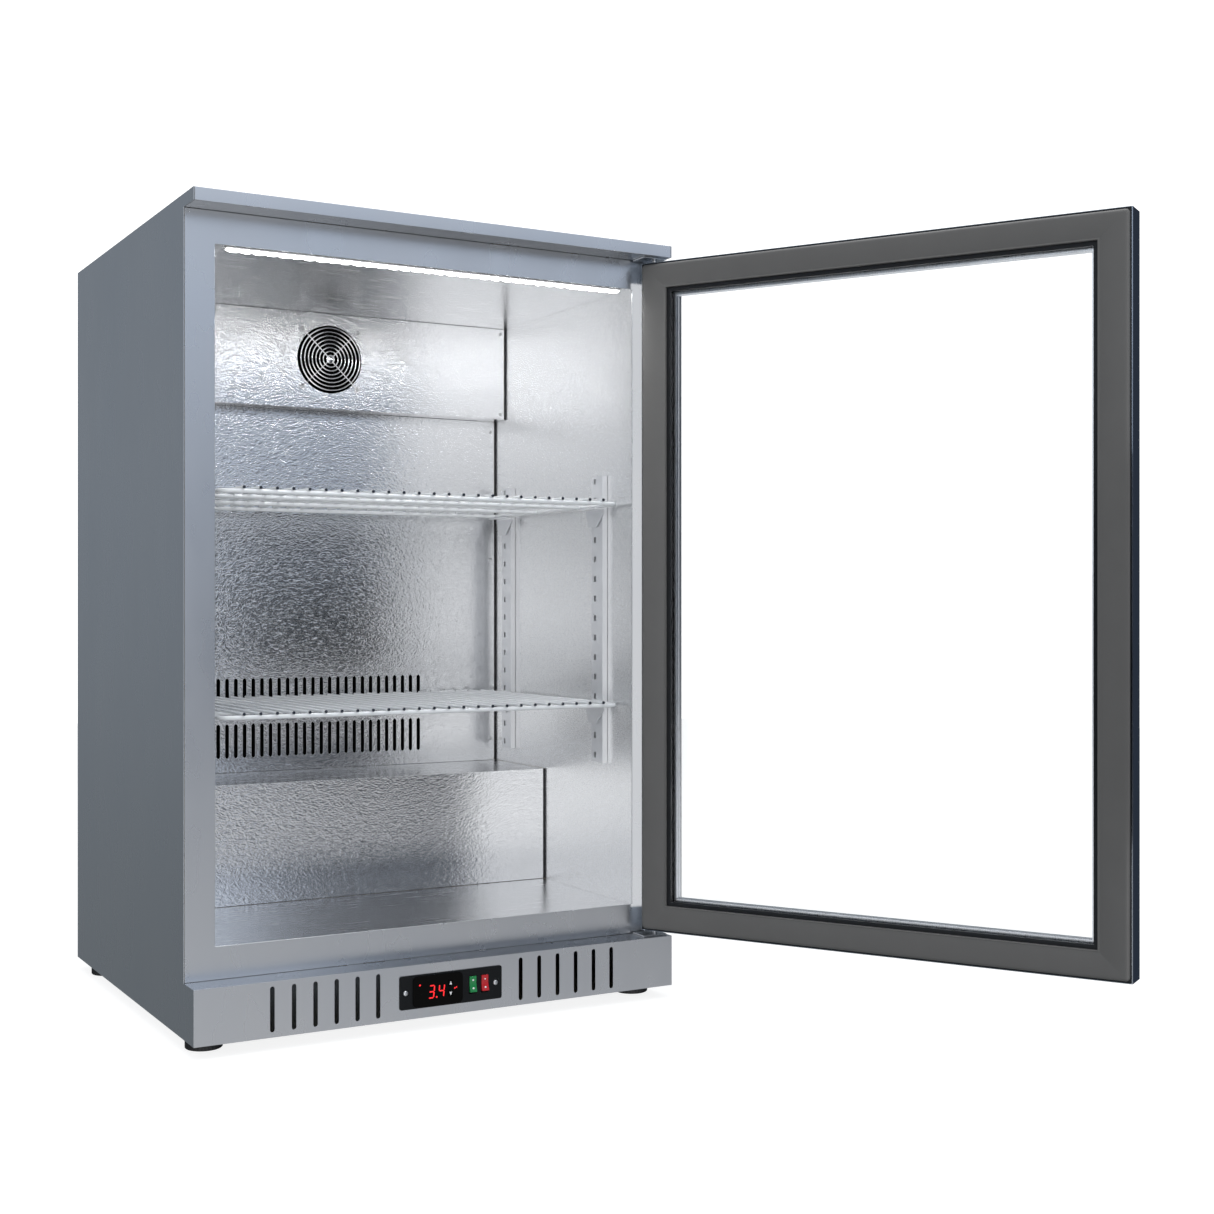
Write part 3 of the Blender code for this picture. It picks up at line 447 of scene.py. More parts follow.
# %% Turned shape helper
def add_turned(shape, profile, centre, axis, sides=32, slot=0):
    """Spins (radius, height) points about an axis through centre. Ends on the axis close it."""
    frame_of = Vector(axis).to_track_quat("Z", "Y").to_matrix().to_4x4()
    place = Matrix.Translation(centre) @ frame_of
    rings = []
    for radius, height in profile:
        if radius < 1e-7:
            rings.append([shape.verts.new(place @ Vector((0, 0, height)))])
            continue
        rings.append([shape.verts.new(place @ Vector((radius * math.cos(math.tau * k / sides),
                                                      radius * math.sin(math.tau * k / sides),
                                                      height))) for k in range(sides)])
    for one, two in zip(rings, rings[1:]):
        for k in range(sides):
            m = (k + 1) % sides
            corners = [one[k % len(one)], one[m % len(one)], two[m % len(two)], two[k % len(two)]]
            unique = [v for j, v in enumerate(corners) if v not in corners[:j]]
            if len(unique) > 2:
                shape.faces.new(unique).material_index = slot


print("helper: add_turned")

# %% [markdown]
# ## Wire shelves
# Each shelf is a ring of five-millimetre bar with rounded corners, two cross bars and
# twenty-five thin wires laid over them and welded. The wires are cropped in front of the ring,
# so their cut ends show as small dark dots in the white coating.

# %% Wire shelves
WIRE_COUNT = 25
WIRE_R = 1.8 * MM
BAR_R = 2.5 * MM
WELD = 0.4 * MM  # how far a wire sinks into the bars under it
CROSS_BARS = (-119.5 * MM, -1.5 * MM)

for name in ("shelf_lower", "shelf_upper"):
    low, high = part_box(name)
    wire_z = high.z - WIRE_R
    bar_z = wire_z - WIRE_R + WELD - BAR_R
    half = high.x - BAR_R
    front, rear = low.y + 4.5 * MM + BAR_R, high.y - 2.5 * MM - BAR_R
    shelf = bmesh.new()
    ring = rounded(-half, half, front, rear, 9.5 * MM)
    add_rod(shelf, [(a, b, bar_z) for a, b in ring], BAR_R, 14, closed=True)
    for y in CROSS_BARS:
        add_rod(shelf, [(-half, y, bar_z), (half, y, bar_z)], BAR_R, 12)
    ends = bmesh.new()
    pitch = 443.76 * MM / (WIRE_COUNT - 1)
    for i in range(WIRE_COUNT):
        x = (i - WIRE_COUNT // 2) * pitch
        add_rod(shelf, [(x, low.y + 0.3 * MM, wire_z), (x, high.y - 0.3 * MM, wire_z)], WIRE_R, 10)
        for y, turn in ((low.y + 0.35 * MM, -1), (high.y - 0.35 * MM, 1)):
            dot = [(0, 0.3 * MM), (1.3 * MM, 0.25 * MM), (1.84 * MM, 0), (1.84 * MM, -0.9 * MM),
                   (0, -0.9 * MM)]
            add_turned(ends, dot, (x, y, wire_z), (0, turn, 0), 14)
    link_piece(f"{name}_wires", shelf, [coated_wire], name, [name])
    link_piece(f"{name}_cut_ends", ends, [wire_end], name)
    print(name, "wires at", round(wire_z / MM, 1), "mm, pitch", round(pitch / MM, 2))

# %% [markdown]
# ## Shelf standards and clips
# A standard is a folded strip with a raised rib and a row of punched slots. A clip hooks into a
# slot and holds the side bar of the shelf. Their shapes are right already, and get broken edges.

# %% Shelf standards and clips
supports = [node for node in body_of if node.startswith(("shelf_standard", "shelf_clip"))]
for node in sorted(supports):
    refine(node, strip_coating, 0.3)
print(len(supports), "standards and clips")

# %% [markdown]
# ## Screws
# One pan-head screw is modelled once, with a real cross recess, and copied wherever the cabinet
# is screwed together. The recess is a Boolean cut: two crossing bars taken from the dome. The bars
# are flat plates, drawn by a helper that also serves for fins, lids and printed marks.

# %% Plate helper
def add_plate(shape, outline, place, thick, slot=0):
    """A flat plate from an outline, raised along the place matrix's Z by thick."""
    low = [shape.verts.new(place @ Vector((a, b, 0))) for a, b in outline]
    high = [shape.verts.new(place @ Vector((a, b, thick))) for a, b in outline]
    faces = [shape.faces.new(low[::-1]), shape.faces.new(high)]
    for k in range(len(outline)):
        m = (k + 1) % len(outline)
        faces.append(shape.faces.new((low[k], low[m], high[m], high[k])))
    for face in faces:
        face.material_index = slot


print("helper: add_plate")

# %% Screw shape
def screw_shape():
    """A pan head of radius 1 on the XY plane, with a cross recess, as a mesh."""
    head = bmesh.new()
    dome = [(0, -0.4), (0.9, -0.4), (1.0, 0.0)] + [
        (math.cos(t) ** 0.6, 0.62 * math.sin(t)) for t in (0.25, 0.5, 0.8, 1.1, 1.35)] + [(0, 0.62)]
    add_turned(head, dome, (0, 0, 0), (0, 0, 1), 24)
    bmesh.ops.recalc_face_normals(head, faces=head.faces)
    body = bpy.data.objects.new("screw_body", bpy.data.meshes.new("screw_body"))
    head.to_mesh(body.data)
    bars = bmesh.new()
    for turn in (0, 90):
        place = Matrix.Rotation(math.radians(turn + 20), 4, "Z") @ Matrix.Translation((0, 0, 0.22))
        add_plate(bars, [(-0.52, -0.11), (0.52, -0.11), (0.52, 0.11), (-0.52, 0.11)], place,
                  1.0 + 0.01 * turn)
    cutter = bpy.data.objects.new("screw_cutter", bpy.data.meshes.new("screw_cutter"))
    bmesh.ops.recalc_face_normals(bars, faces=bars.faces)
    bars.to_mesh(cutter.data)
    for helper in (body, cutter):
        bpy.context.scene.collection.objects.link(helper)
    cut = body.modifiers.new("recess", "BOOLEAN")
    cut.operation = "DIFFERENCE"
    cut.use_self = True
    cut.object = cutter
    bpy.context.view_layer.update()
    graph = bpy.context.evaluated_depsgraph_get()
    result = bpy.data.meshes.new_from_object(body.evaluated_get(graph))
    for helper in (body, cutter):
        bpy.data.objects.remove(helper)
    head.free()
    bars.free()
    return result


screw_mesh = screw_shape()
print("screw:", len(screw_mesh.polygons), "faces")

# %% Screws in their places
def add_screws(name, places, axis, radius_mm, like):
    """Copies of the screw at each place, all heads facing along axis, as one piece."""
    facing = Vector(axis).to_track_quat("Z", "Y").to_matrix().to_4x4()
    group = bmesh.new()
    for i, place in enumerate(places):
        one = bmesh.new()
        one.from_mesh(screw_mesh)
        spin = Matrix.Rotation(i * 1.3, 4, "Z")
        size = Matrix.Scale(radius_mm * MM, 4)
        bmesh.ops.transform(one, matrix=Matrix.Translation(place) @ facing @ spin @ size,
                            verts=one.verts)
        copy = bpy.data.meshes.new("one_screw")
        one.to_mesh(copy)
        one.free()
        group.from_mesh(copy)
        bpy.data.meshes.remove(copy)
    return link_piece(name, group, [zinc_screw], like)


cover_low, cover_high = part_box("evaporator_cover")
duct_low, duct_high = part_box("rear_duct_panel")
hump_low, hump_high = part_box("compressor_hump")
inset = 7 * MM
add_screws("cover_screws", [(x, cover_low.y, z)
                            for x in (cover_low.x + inset, cover_high.x - inset)
                            for z in (cover_low.z + inset, cover_high.z - inset)],
           (0, -1, 0), 2.2, "evaporator_cover")
add_screws("duct_screws", [(x, duct_low.y, z) for x in (duct_low.x + inset, duct_high.x - inset)
                           for z in (duct_low.z + 30 * MM, 0.52, duct_high.z - 15 * MM)],
           (0, -1, 0), 2.2, "rear_duct_panel")
back_low, back_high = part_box("back_panel")
grille_low, grille_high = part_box("rear_grille")
edge = 9 * MM
back_rows = [back_low.z + edge + (back_high.z - back_low.z - 2 * edge) * i / 4 for i in range(5)]
add_screws("back_screws", [(x, back_high.y, z) for x in (back_low.x + edge, back_high.x - edge)
                           for z in back_rows], (0, 1, 0), 3.2, "back_panel")
add_screws("grille_screws", [(x, grille_high.y, z)
                             for x in (grille_low.x + edge, grille_high.x - edge)
                             for z in (grille_low.z + 18 * MM, grille_high.z - edge)],
           (0, 1, 0), 3.2, "rear_grille")
print("screws placed")

# %% [markdown]
# ## Fan guard
# The guard is spot-welded from wire: seven rings on two crossed bars that end in screw eyes,
# with a small disc in the middle. Round wire is what makes the thin bright circles.

# %% Fan guard
guard_low, guard_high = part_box("fan_guard")
fan_x = (guard_low.x + guard_high.x) / 2
fan_z = (guard_low.z + guard_high.z) / 2
GUARD_WIRE = 0.85 * MM
GUARD_RINGS = 7
FIRST_RING, RING_STEP = 10.1, 5.05  # mm
ring_y = guard_low.y + GUARD_WIRE
EYE = 37.6 * MM

guard = bmesh.new()
for i in range(GUARD_RINGS):
    around = arc((fan_x, fan_z), (FIRST_RING + RING_STEP * i) * MM, 0, 360, 72)[:-1]
    add_rod(guard, [(a, ring_y, b) for a, b in around], GUARD_WIRE, 8, closed=True)
bar_y = ring_y + 1.1 * MM
for side in (1, -1):
    reach = EYE - 2.2 * MM
    add_rod(guard, [(fan_x - reach, bar_y, fan_z - side * reach),
                    (fan_x + reach, bar_y, fan_z + side * reach)], GUARD_WIRE, 8)
    for end in (1, -1):
        loop = arc((fan_x + end * EYE, fan_z + end * side * EYE), 3.0 * MM, 0, 360, 24)[:-1]
        add_rod(guard, [(a, bar_y, b) for a, b in loop], GUARD_WIRE, 8, closed=True)
disc = [(0, 1.1 * MM), (4.2 * MM, 1.0 * MM), (5.6 * MM, 0.4 * MM), (5.6 * MM, -0.8 * MM),
        (0, -0.8 * MM)]
add_turned(guard, disc, (fan_x, ring_y, fan_z), (0, -1, 0), 32)
link_piece("fan_guard_wires", guard, [bright_wire], "fan_guard", ["fan_guard"])
add_screws("guard_screws", [(fan_x + a * EYE, bar_y - 0.2 * MM, fan_z + b * EYE)
                            for a in (1, -1) for b in (1, -1)], (0, -1, 0), 2.1, "fan_guard")
print("guard:", GUARD_RINGS, "rings, outer radius", round(FIRST_RING + RING_STEP * 6, 1), "mm")

# %% [markdown]
# ## Fans
# Behind each guard turns an axial fan. A blade is a thin curved plate that is wider and flatter
# at its tip than at its root. It is drawn as rows of points across the chord, from root to tip,
# each row turned by its own pitch, and then given a thickness.

# %% Fans
def add_blade(shape, start, root_r, tip_r, chord, pitches, camber, thick, place):
    """One curved blade: rows from root to tip, turned from the first pitch to the second."""
    rows, across = 7, 8
    sheets = []
    for face in (-0.5, 0.5):
        grid = []
        for i in range(rows + 1):
            s = i / rows
            radius = root_r + (tip_r - root_r) * s
            pitch = math.radians(pitches[0] + (pitches[1] - pitches[0]) * s)
            width = chord * (0.72 + 0.5 * s - 0.22 * s ** 4)
            row = []
            for j in range(across + 1):
                t = j / across - 0.5
                along = t * width
                rise = camber * (1 - 4 * t * t) + face * thick * (1 - 3.6 * t * t * 0.9)
                turn = start + (along * math.cos(pitch)) / radius
                height = along * math.sin(pitch) + rise
                row.append(shape.verts.new(place @ Vector((radius * math.cos(turn),
                                                           radius * math.sin(turn), height))))
            grid.append(row)
        sheets.append(grid)
    low, high = sheets
    for i in range(rows):
        for j in range(across):
            shape.faces.new((low[i][j], low[i][j + 1], low[i + 1][j + 1], low[i + 1][j]))
            shape.faces.new((high[i][j], high[i + 1][j], high[i + 1][j + 1], high[i][j + 1]))
    for j in range(across):
        for i in (0, rows):
            shape.faces.new((low[i][j], low[i][j + 1], high[i][j + 1], high[i][j]))
    for i in range(rows):
        for j in (0, across):
            shape.faces.new((low[i][j], low[i + 1][j], high[i + 1][j], high[i][j]))


def fan_rotor(node, axis, hub_r, blades, pitches, made):
    """A rotor inside the box of its plain solid: a domed hub and curved blades."""
    low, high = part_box(node)
    centre = (low + high) / 2
    along = "XYZ".index(axis)
    depth = high[along] - low[along]
    tip_r = (high.z - low.z) / 2 - 0.5 * MM
    direction = Vector([-1 if k == along else 0 for k in range(3)])
    place = Matrix.Translation(centre) @ direction.to_track_quat("Z", "Y").to_matrix().to_4x4()
    rotor = bmesh.new()
    dome = [(0, -0.42 * depth), (hub_r, -0.42 * depth), (hub_r, 0.25 * depth),
            (hub_r * 0.93, 0.34 * depth), (hub_r * 0.8, 0.38 * depth), (0, 0.4 * depth)]
    add_turned(rotor, dome, centre, direction, 40)
    chord = 0.85 * math.tau * hub_r / blades
    for i in range(blades):
        add_blade(rotor, math.tau * i / blades, hub_r * 0.94, tip_r, chord, pitches, 0.9 * MM,
                  1.4 * MM, place)
    return link_piece(f"{node}_blades", rotor, [made], node, [node])


fan_rotor("evaporator_fan_impeller", "Y", 15 * MM, 7, (38, 22), fan_plastic)
fan_rotor("condenser_fan_impeller", "X", 20 * MM, 5, (36, 20), fin_foil)
refine("evaporator_fan_motor", fan_plastic, 0.5)
refine("condenser_fan_motor", black_enamel, 0.6)
print("fans: 7 and 5 blades")

# %% [markdown]
# ## Refrigerating machine
# Behind the rear grille sit the compressor, a black welded shell with a girdle seam, and the
# condenser, a block of foil fins on copper tube. The fins are thin, so each is its own plate. The
# evaporator behind the inner fan's cover is a block of the same kind, coated black.

# %% Refrigerating machine
comp_low, comp_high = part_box("compressor")
comp_mid = (comp_low + comp_high) / 2
shell_r = 68 * MM
shell_low = comp_low.z + 14 * MM
height = comp_high.z - shell_low
bend = [(0, 0), (0.80, 0), (0.93, 0.035), (0.985, 0.10), (1.0, 0.2), (1.0, 0.585)]
girdle = [(1.0, 0.59), (1.035, 0.597), (1.035, 0.625), (1.0, 0.632)]
crown = [(0.985, 0.72), (0.93, 0.81), (0.83, 0.89), (0.66, 0.95), (0.42, 0.985), (0.2, 1.0),
         (0, 1.0)]
compressor = bmesh.new()
add_turned(compressor, [(r * shell_r * 0.965, h * height) for r, h in bend + girdle + crown],
           (comp_mid.x, comp_mid.y, shell_low), (0, 0, 1), 48)
deck = rounded(comp_low.x, comp_high.x, comp_low.y, comp_high.y, 14 * MM)
add_plate(compressor, deck, Matrix.Translation((0, 0, comp_low.z + 8 * MM)), 4 * MM)
box_place = Matrix.Translation((comp_low.x + 30 * MM, comp_low.y + 6 * MM, shell_low + 30 * MM))
add_plate(compressor, rounded(0, 40 * MM, 0, 18 * MM, 4 * MM), box_place, 44 * MM)
feet = [(comp_mid.x + a * 73 * MM, comp_mid.y + b * 47 * MM) for a in (1, -1) for b in (1, -1)]
for x, y in feet:
    grommet = [(0, 0), (9 * MM, 0), (9 * MM, 3 * MM), (7 * MM, 4.2 * MM), (9 * MM, 5.4 * MM),
               (9 * MM, 8.2 * MM), (0, 8.2 * MM)]
    add_turned(compressor, grommet, (x, y, comp_low.z), (0, 0, 1), 24)
link_piece("compressor_shell", compressor, [black_enamel], "compressor", ["compressor"], 0.5)

print("compressor shell", round(2 * shell_r / MM), "mm across")

# %% Condenser and evaporator
FIN_COUNT = 46
COLD_FIN_COUNT = 60
FIN_THICK = 0.3 * MM

coil_low, coil_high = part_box("condenser_coil")
fins = bmesh.new()
for i in range(FIN_COUNT):
    y = coil_low.y + 3 * MM + (coil_high.y - coil_low.y - 6 * MM) * i / (FIN_COUNT - 1)
    turn = Matrix.Translation((0, y, 0)) @ Matrix.Rotation(math.pi / 2, 4, "X")
    outline = [(coil_low.x, coil_low.z), (coil_high.x, coil_low.z), (coil_high.x, coil_high.z),
               (coil_low.x, coil_high.z)]
    add_plate(fins, outline, turn, FIN_THICK)
tube_r = 3.6 * MM
levels = [coil_low.z + 14 * MM + 20.3 * MM * i for i in range(8)]
for x in (coil_low.x + 11 * MM, coil_high.x - 11 * MM):
    for z in levels:
        add_rod(fins, [(x, coil_low.y + 0.4 * MM, z), (x, coil_high.y - 0.4 * MM, z)], tube_r, 12,
                slot=1)
link_piece("condenser_fins", fins, [fin_foil, copper], "condenser_coil", ["condenser_coil"])

evap_low, evap_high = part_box("evaporator_coil")
fins = bmesh.new()
for i in range(COLD_FIN_COUNT):
    x = evap_low.x + 2 * MM + (evap_high.x - evap_low.x - 4 * MM) * i / (COLD_FIN_COUNT - 1)
    turn = Matrix.Translation((x, 0, 0)) @ Matrix.Rotation(math.pi / 2, 4, "Y")
    outline = [(-evap_low.z, evap_low.y), (-evap_high.z, evap_low.y), (-evap_high.z, evap_high.y),
               (-evap_low.z, evap_high.y)]
    add_plate(fins, outline, turn, FIN_THICK)
for y in (evap_low.y + 12 * MM, evap_high.y - 12 * MM):
    for k in range(4):
        z = evap_low.z + 13 * MM + 24 * MM * k
        add_rod(fins, [(evap_low.x + 0.3 * MM, y, z), (evap_high.x - 0.3 * MM, y, z)], 4.5 * MM, 12)
link_piece("evaporator_fins", fins, [coil_coating], "evaporator_coil", ["evaporator_coil"])
print("condenser", FIN_COUNT, "fins, evaporator", COLD_FIN_COUNT, "fins")

# %% [markdown]
# ## Cable gland
# The mains cable leaves through a black gland at the back: a hexagonal nut against the sheet, a
# ribbed collar, and a tapered nose. The cable itself isn't part of this model.

# %% Cable gland
gland_low, gland_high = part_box("cable_gland")
gland_mid = (gland_low + gland_high) / 2
gland = bmesh.new()
nose = [(0, 0), (7.2, 0), (7.2, 3.2), (9.4, 3.2), (9.4, 4.4), (8.6, 4.8), (8.6, 6.8), (7.6, 9.5),
        (6.6, 13.6), (5.2, 14.0), (5.0, 13.0), (5.0, 8), (0, 8)]
add_turned(gland, [(r * MM, h * MM) for r, h in nose], (gland_mid.x, gland_low.y, gland_mid.z),
           (0, 1, 0), 36)
NUT_R = 10.6 * MM
corners = [math.radians(60 * k + 30) for k in range(6)]
hexagon = [(NUT_R * math.cos(t), NUT_R * math.sin(t)) for t in corners]
nut = Matrix.Translation((gland_mid.x, gland_low.y + 3.1 * MM, gland_mid.z)) @ Matrix.Rotation(
    -math.pi / 2, 4, "X")
add_plate(gland, hexagon, nut, 3.4 * MM)
link_piece("cable_gland_moulding", gland, [black_plastic], "cable_gland", ["cable_gland"], 0.3)
print("gland at", [round(v, 3) for v in gland_mid])

# %% [markdown]
# ## Lamp strip
# A row of small lamps sits in a channel under the front edge of the ceiling, under one moulded
# lens. Each lamp has its own bulge in the lens, so the lit strip has a scalloped lower edge. The
# lens is a row of cross sections whose depth swells once for each lamp.

# %% Lamp strip
LOBES = 34
STEPS = 8
lens_low, lens_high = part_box("led_diffuser")
length = lens_high.x - lens_low.x
mid_y, half_y = (lens_low.y + lens_high.y) / 2, (lens_high.y - lens_low.y) / 2
lens = bmesh.new()
sections = []
for i in range(LOBES * STEPS + 1):
    x = lens_low.x + length * i / (LOBES * STEPS)
    swell = abs(math.sin(math.pi * i / STEPS))
    depth = (lens_high.z - lens_low.z) * (0.42 + 0.58 * swell ** 0.7)
    width = half_y * (0.80 + 0.20 * swell)
    section = [(mid_y - width, lens_high.z), (mid_y - width, lens_high.z - 0.5 * depth),
               (mid_y - 0.6 * width, lens_high.z - 0.92 * depth), (mid_y, lens_high.z - depth),
               (mid_y + 0.6 * width, lens_high.z - 0.92 * depth),
               (mid_y + width, lens_high.z - 0.5 * depth), (mid_y + width, lens_high.z)]
    sections.append([lens.verts.new((x, y, z)) for y, z in section])
for one, two in zip(sections, sections[1:]):
    for k in range(7):
        m = (k + 1) % 7
        lens.faces.new((one[k], one[m], two[m], two[k]))
lens.faces.new(sections[0])
lens.faces.new(sections[-1])
link_piece("lamp_strip_lens", lens, [lamp_lens], "led_diffuser", ["led_diffuser"])
refine("led_channel", channel_white, 0.3)
print("lamp lens:", LOBES, "lobes of", round(length / LOBES / MM, 1), "mm")

# %% [markdown]
# ## Door
# The door is a folded steel shell round a dark insulated core, double glazing with a spacer bar
# between its panes, and a soft seal on the inner face. The new pieces are drawn with the door
# shut, counted from the hinge pin, and one matrix then swings them open.

# %% Door frame and glass
hinge = next(joint for joint in frame["joints"] if joint["name"] == "door_hinge")
opened = math.radians(-hinge["range_deg"][0])
swing = Matrix.Translation((*hinge["pos_m"][:2], 0)) @ Matrix.Rotation(opened, 4, "Z")
shut = swing.inverted()


def shut_box(node):
    """The box of a door part as if the door were shut, counted from the hinge pin."""
    points = [shut @ vertex.co for vertex in frame["nodes"][node].data.vertices]
    return (Vector([min(p[k] for p in points) for k in range(3)]),
            Vector([max(p[k] for p in points) for k in range(3)]))


def add_ring(shape, rings, slot=0, closed=True):
    """Bridges rounded rectangles, each (x0, x1, z0, z1, radius, depth y), into a frame."""
    loops = []
    for x0, x1, z0, z1, radius, y in rings:
        outline = rounded(x0, x1, z0, z1, max(radius, 0.02 * MM), 5)
        loops.append([shape.verts.new(swing @ Vector((a, y, b))) for a, b in outline])
    pairs = list(zip(loops, loops[1:])) + ([(loops[-1], loops[0])] if closed else [])
    for one, two in pairs:
        for k in range(len(one)):
            m = (k + 1) % len(one)
            shape.faces.new((one[k], one[m], two[m], two[k])).material_index = slot


refine("door_shell", door_steel_painted_reflection, 0.35)
refine("door_core", seal_black, 0.4)
for node in ("door_glass_outer", "door_glass_inner"):
    refine(node, pane_glass, 0.5)
print("door opened", round(math.degrees(opened), 1), "degrees")

# %% [markdown]
# The seal is one soft extrusion mitred at the corners. Its face is broad and flat, its outer
# edge rolls over to the shell, and a bead runs near the inner edge. The spacer bar shows between
# the panes as two bright lines with a dark groove.

# %% Door seal and spacer
seal_low, seal_high = shut_box("door_gasket")
base_y, crown_y = seal_low.y, seal_high.y
rise = crown_y - base_y


def seal_ring(inset_mm, radius_mm, lift, narrow=0.0):
    """A rectangle of the seal's section: inset from its outer edge, lifted by a share."""
    side = inset_mm * MM
    end = (inset_mm - narrow) * MM
    return (seal_low.x + side, seal_high.x - side, seal_low.z + end, seal_high.z - end,
            radius_mm * MM, base_y + rise * lift)


seal = bmesh.new()
WIDTH_OF_SEAL = 32.9
NARROW = 3.3
roll = [(0.0, 0.0), (0.15, 0.35), (0.7, 0.66), (1.7, 0.87), (3.0, 0.97), (4.6, 1.0)]
face_of_seal = [(6.4, 1.0), (29.6, 0.985), (30.2, 0.93), (30.9, 0.93), (31.5, 0.985),
                (32.4, 0.97), (32.8, 0.85), (WIDTH_OF_SEAL, 0.0)]
add_ring(seal, [seal_ring(a, max(4.5 - a * 0.5, 0.6), b, NARROW * min(1, a / WIDTH_OF_SEAL))
                for a, b in roll + face_of_seal])
link_piece("door_seal", seal, [seal_grey], "door_gasket", ["door_gasket"])
print("seal", round(rise / MM, 1), "mm deep")

# %% Spacer bar and hinges

bar_low, bar_high = shut_box("glass_spacer")
depth = bar_high.y - bar_low.y
inner = 11.7 * MM
inner_end = 11.2 * MM
lip = 0.25 * MM
groove = -0.9 * MM


def bar_ring(share, y_share, more=0.0):
    """A rectangle of the spacer bar: a share of its height and depth, moved by more."""
    side = inner * share + more
    end = inner_end * share + more
    return (bar_low.x + side, bar_high.x - side, bar_low.z + end, bar_high.z - end, 0.3 * MM,
            bar_low.y + depth * y_share)


bar = bmesh.new()
add_ring(bar, [bar_ring(0, 0), bar_ring(1, 0, -lip), bar_ring(1, 0.03), bar_ring(1, 0.40),
               bar_ring(1, 0.44, groove)], 0, False)
add_ring(bar, [bar_ring(1, 0.44, groove), bar_ring(1, 0.56, groove)], 1, False)
add_ring(bar, [bar_ring(1, 0.56, groove), bar_ring(1, 0.60), bar_ring(1, 0.97),
               bar_ring(1, 1, -lip), bar_ring(0, 1), bar_ring(0, 0)], 0, False)
bmesh.ops.remove_doubles(bar, verts=bar.verts, dist=1e-6)
link_piece("spacer_bar_ring", bar, [spacer_bar, seal_black], "glass_spacer", ["glass_spacer"])
for node in ("hinge_top", "hinge_bottom"):
    refine(node, zinc_screw, 0.3)
print("spacer bar", round(depth / MM, 1), "mm deep")

# %% [markdown]
# ## Controls
# A black plate on the plinth holds the thermostat and two rocker switches. The digits are seven
# bars each, lit by segment, so any reading can be set by one word. The rockers are hollowed
# where a finger presses, and stand tipped to the side that is on.

# %% Control plate and thermostat
refine("control_bezel", black_plastic, 0.5)
refine("thermostat", display_window, 0.5)
plate_low, plate_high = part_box("control_bezel")
window_low, window_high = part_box("thermostat")
face_y = window_low.y
SCREW_Z = 29.5 * MM
add_screws("plate_screws", [(-55.5 * MM, plate_low.y, SCREW_Z), (54.0 * MM, plate_low.y, SCREW_Z)],
           (0, -1, 0), 3.1, "control_bezel")

print("control plate and display window")

# %% Digits
SEGMENTS = {"3": "abcdg", "4": "bcfg"}
DIGIT_W, DIGIT_H, SLANT = 5.9 * MM, 13.4 * MM, 0.10
READING = (("3", -28.6 * MM), ("4", -16.6 * MM))
DIGIT_LOW = 21.6 * MM
BAR_W = 1.35 * MM


def add_glyph(shape, outline, y, slot=0):
    """A thin raised mark on the window, from points in X and Z."""
    place = Matrix.Translation((0, y, 0)) @ Matrix.Rotation(math.pi / 2, 4, "X")
    add_plate(shape, outline, place, 0.12 * MM, slot)


def segment(letter, x, z):
    """One lit bar of a digit: pointed at both ends, leaning with the digit."""
    w, h, t = DIGIT_W, DIGIT_H / 2, BAR_W / 2
    spans = {"a": (0, 2, 1, 2), "b": (1, 1, 1, 2), "c": (1, 0, 1, 1), "d": (0, 0, 1, 0),
             "e": (0, 0, 0, 1), "f": (0, 1, 0, 2), "g": (0, 1, 1, 1)}
    ax, az, bx, bz = spans[letter]
    start, stop = Vector((ax * w, az * h)), Vector((bx * w, bz * h))
    along = (stop - start).normalized()
    side = Vector((-along.y, along.x))
    start, stop = start + along * 0.35 * t, stop - along * 0.35 * t
    points = [start, start + (along + side) * t, stop + (side - along) * t, stop,
              stop - (along + side) * t, start + (along - side) * t]
    return [(x + p.x + SLANT * p.y, z + p.y) for p in points]


digits = bmesh.new()
for digit, x in READING:
    for letter in SEGMENTS[digit]:
        add_glyph(digits, segment(letter, x, DIGIT_LOW), face_y)
for x, z, r in ((-18.9 * MM, 21.9 * MM, 1.0 * MM), (-39.0 * MM, 36.8 * MM, 1.05 * MM)):
    add_glyph(digits, arc((x, z), r, 0, 360, 16)[:-1], face_y)
half_dash = 0.7 * MM
for x0, x1, z in ((2.4 * MM, 4.0 * MM, 29.4 * MM), (4.5 * MM, 5.7 * MM, 30.2 * MM)):
    add_glyph(digits, [(x0, z - half_dash), (x1, z - half_dash), (x1, z + half_dash),
                       (x0, z + half_dash)], face_y)
link_piece("display_digits", digits, [digit_red], "thermostat")
print("display reads 3.4")

# %% Keys with their arrows
for node, way in (("key_up", 1), ("key_down", -1)):
    refine(node, key_plastic, 0.35, 3)
    low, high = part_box(node)
    x, z = (low.x + high.x) / 2, (low.z + high.z) / 2
    arrow = bmesh.new()
    add_glyph(arrow, [(x - 1.6 * MM, z - way * 1.7 * MM), (x, z + way * 2.2 * MM),
                      (x + 1.6 * MM, z - way * 1.7 * MM)], low.y)
    link_piece(f"{node}_arrow", arrow, [print_white], node)
print("two keys")

# %% [markdown]
# A rocker's front is two shallow dishes that meet in a low ridge. Its side view is drawn with
# two arcs and extruded, in the rocker's own tipped frame, and its marks are small raised dots.

# %% Rocker switches
TILT = math.radians(7)


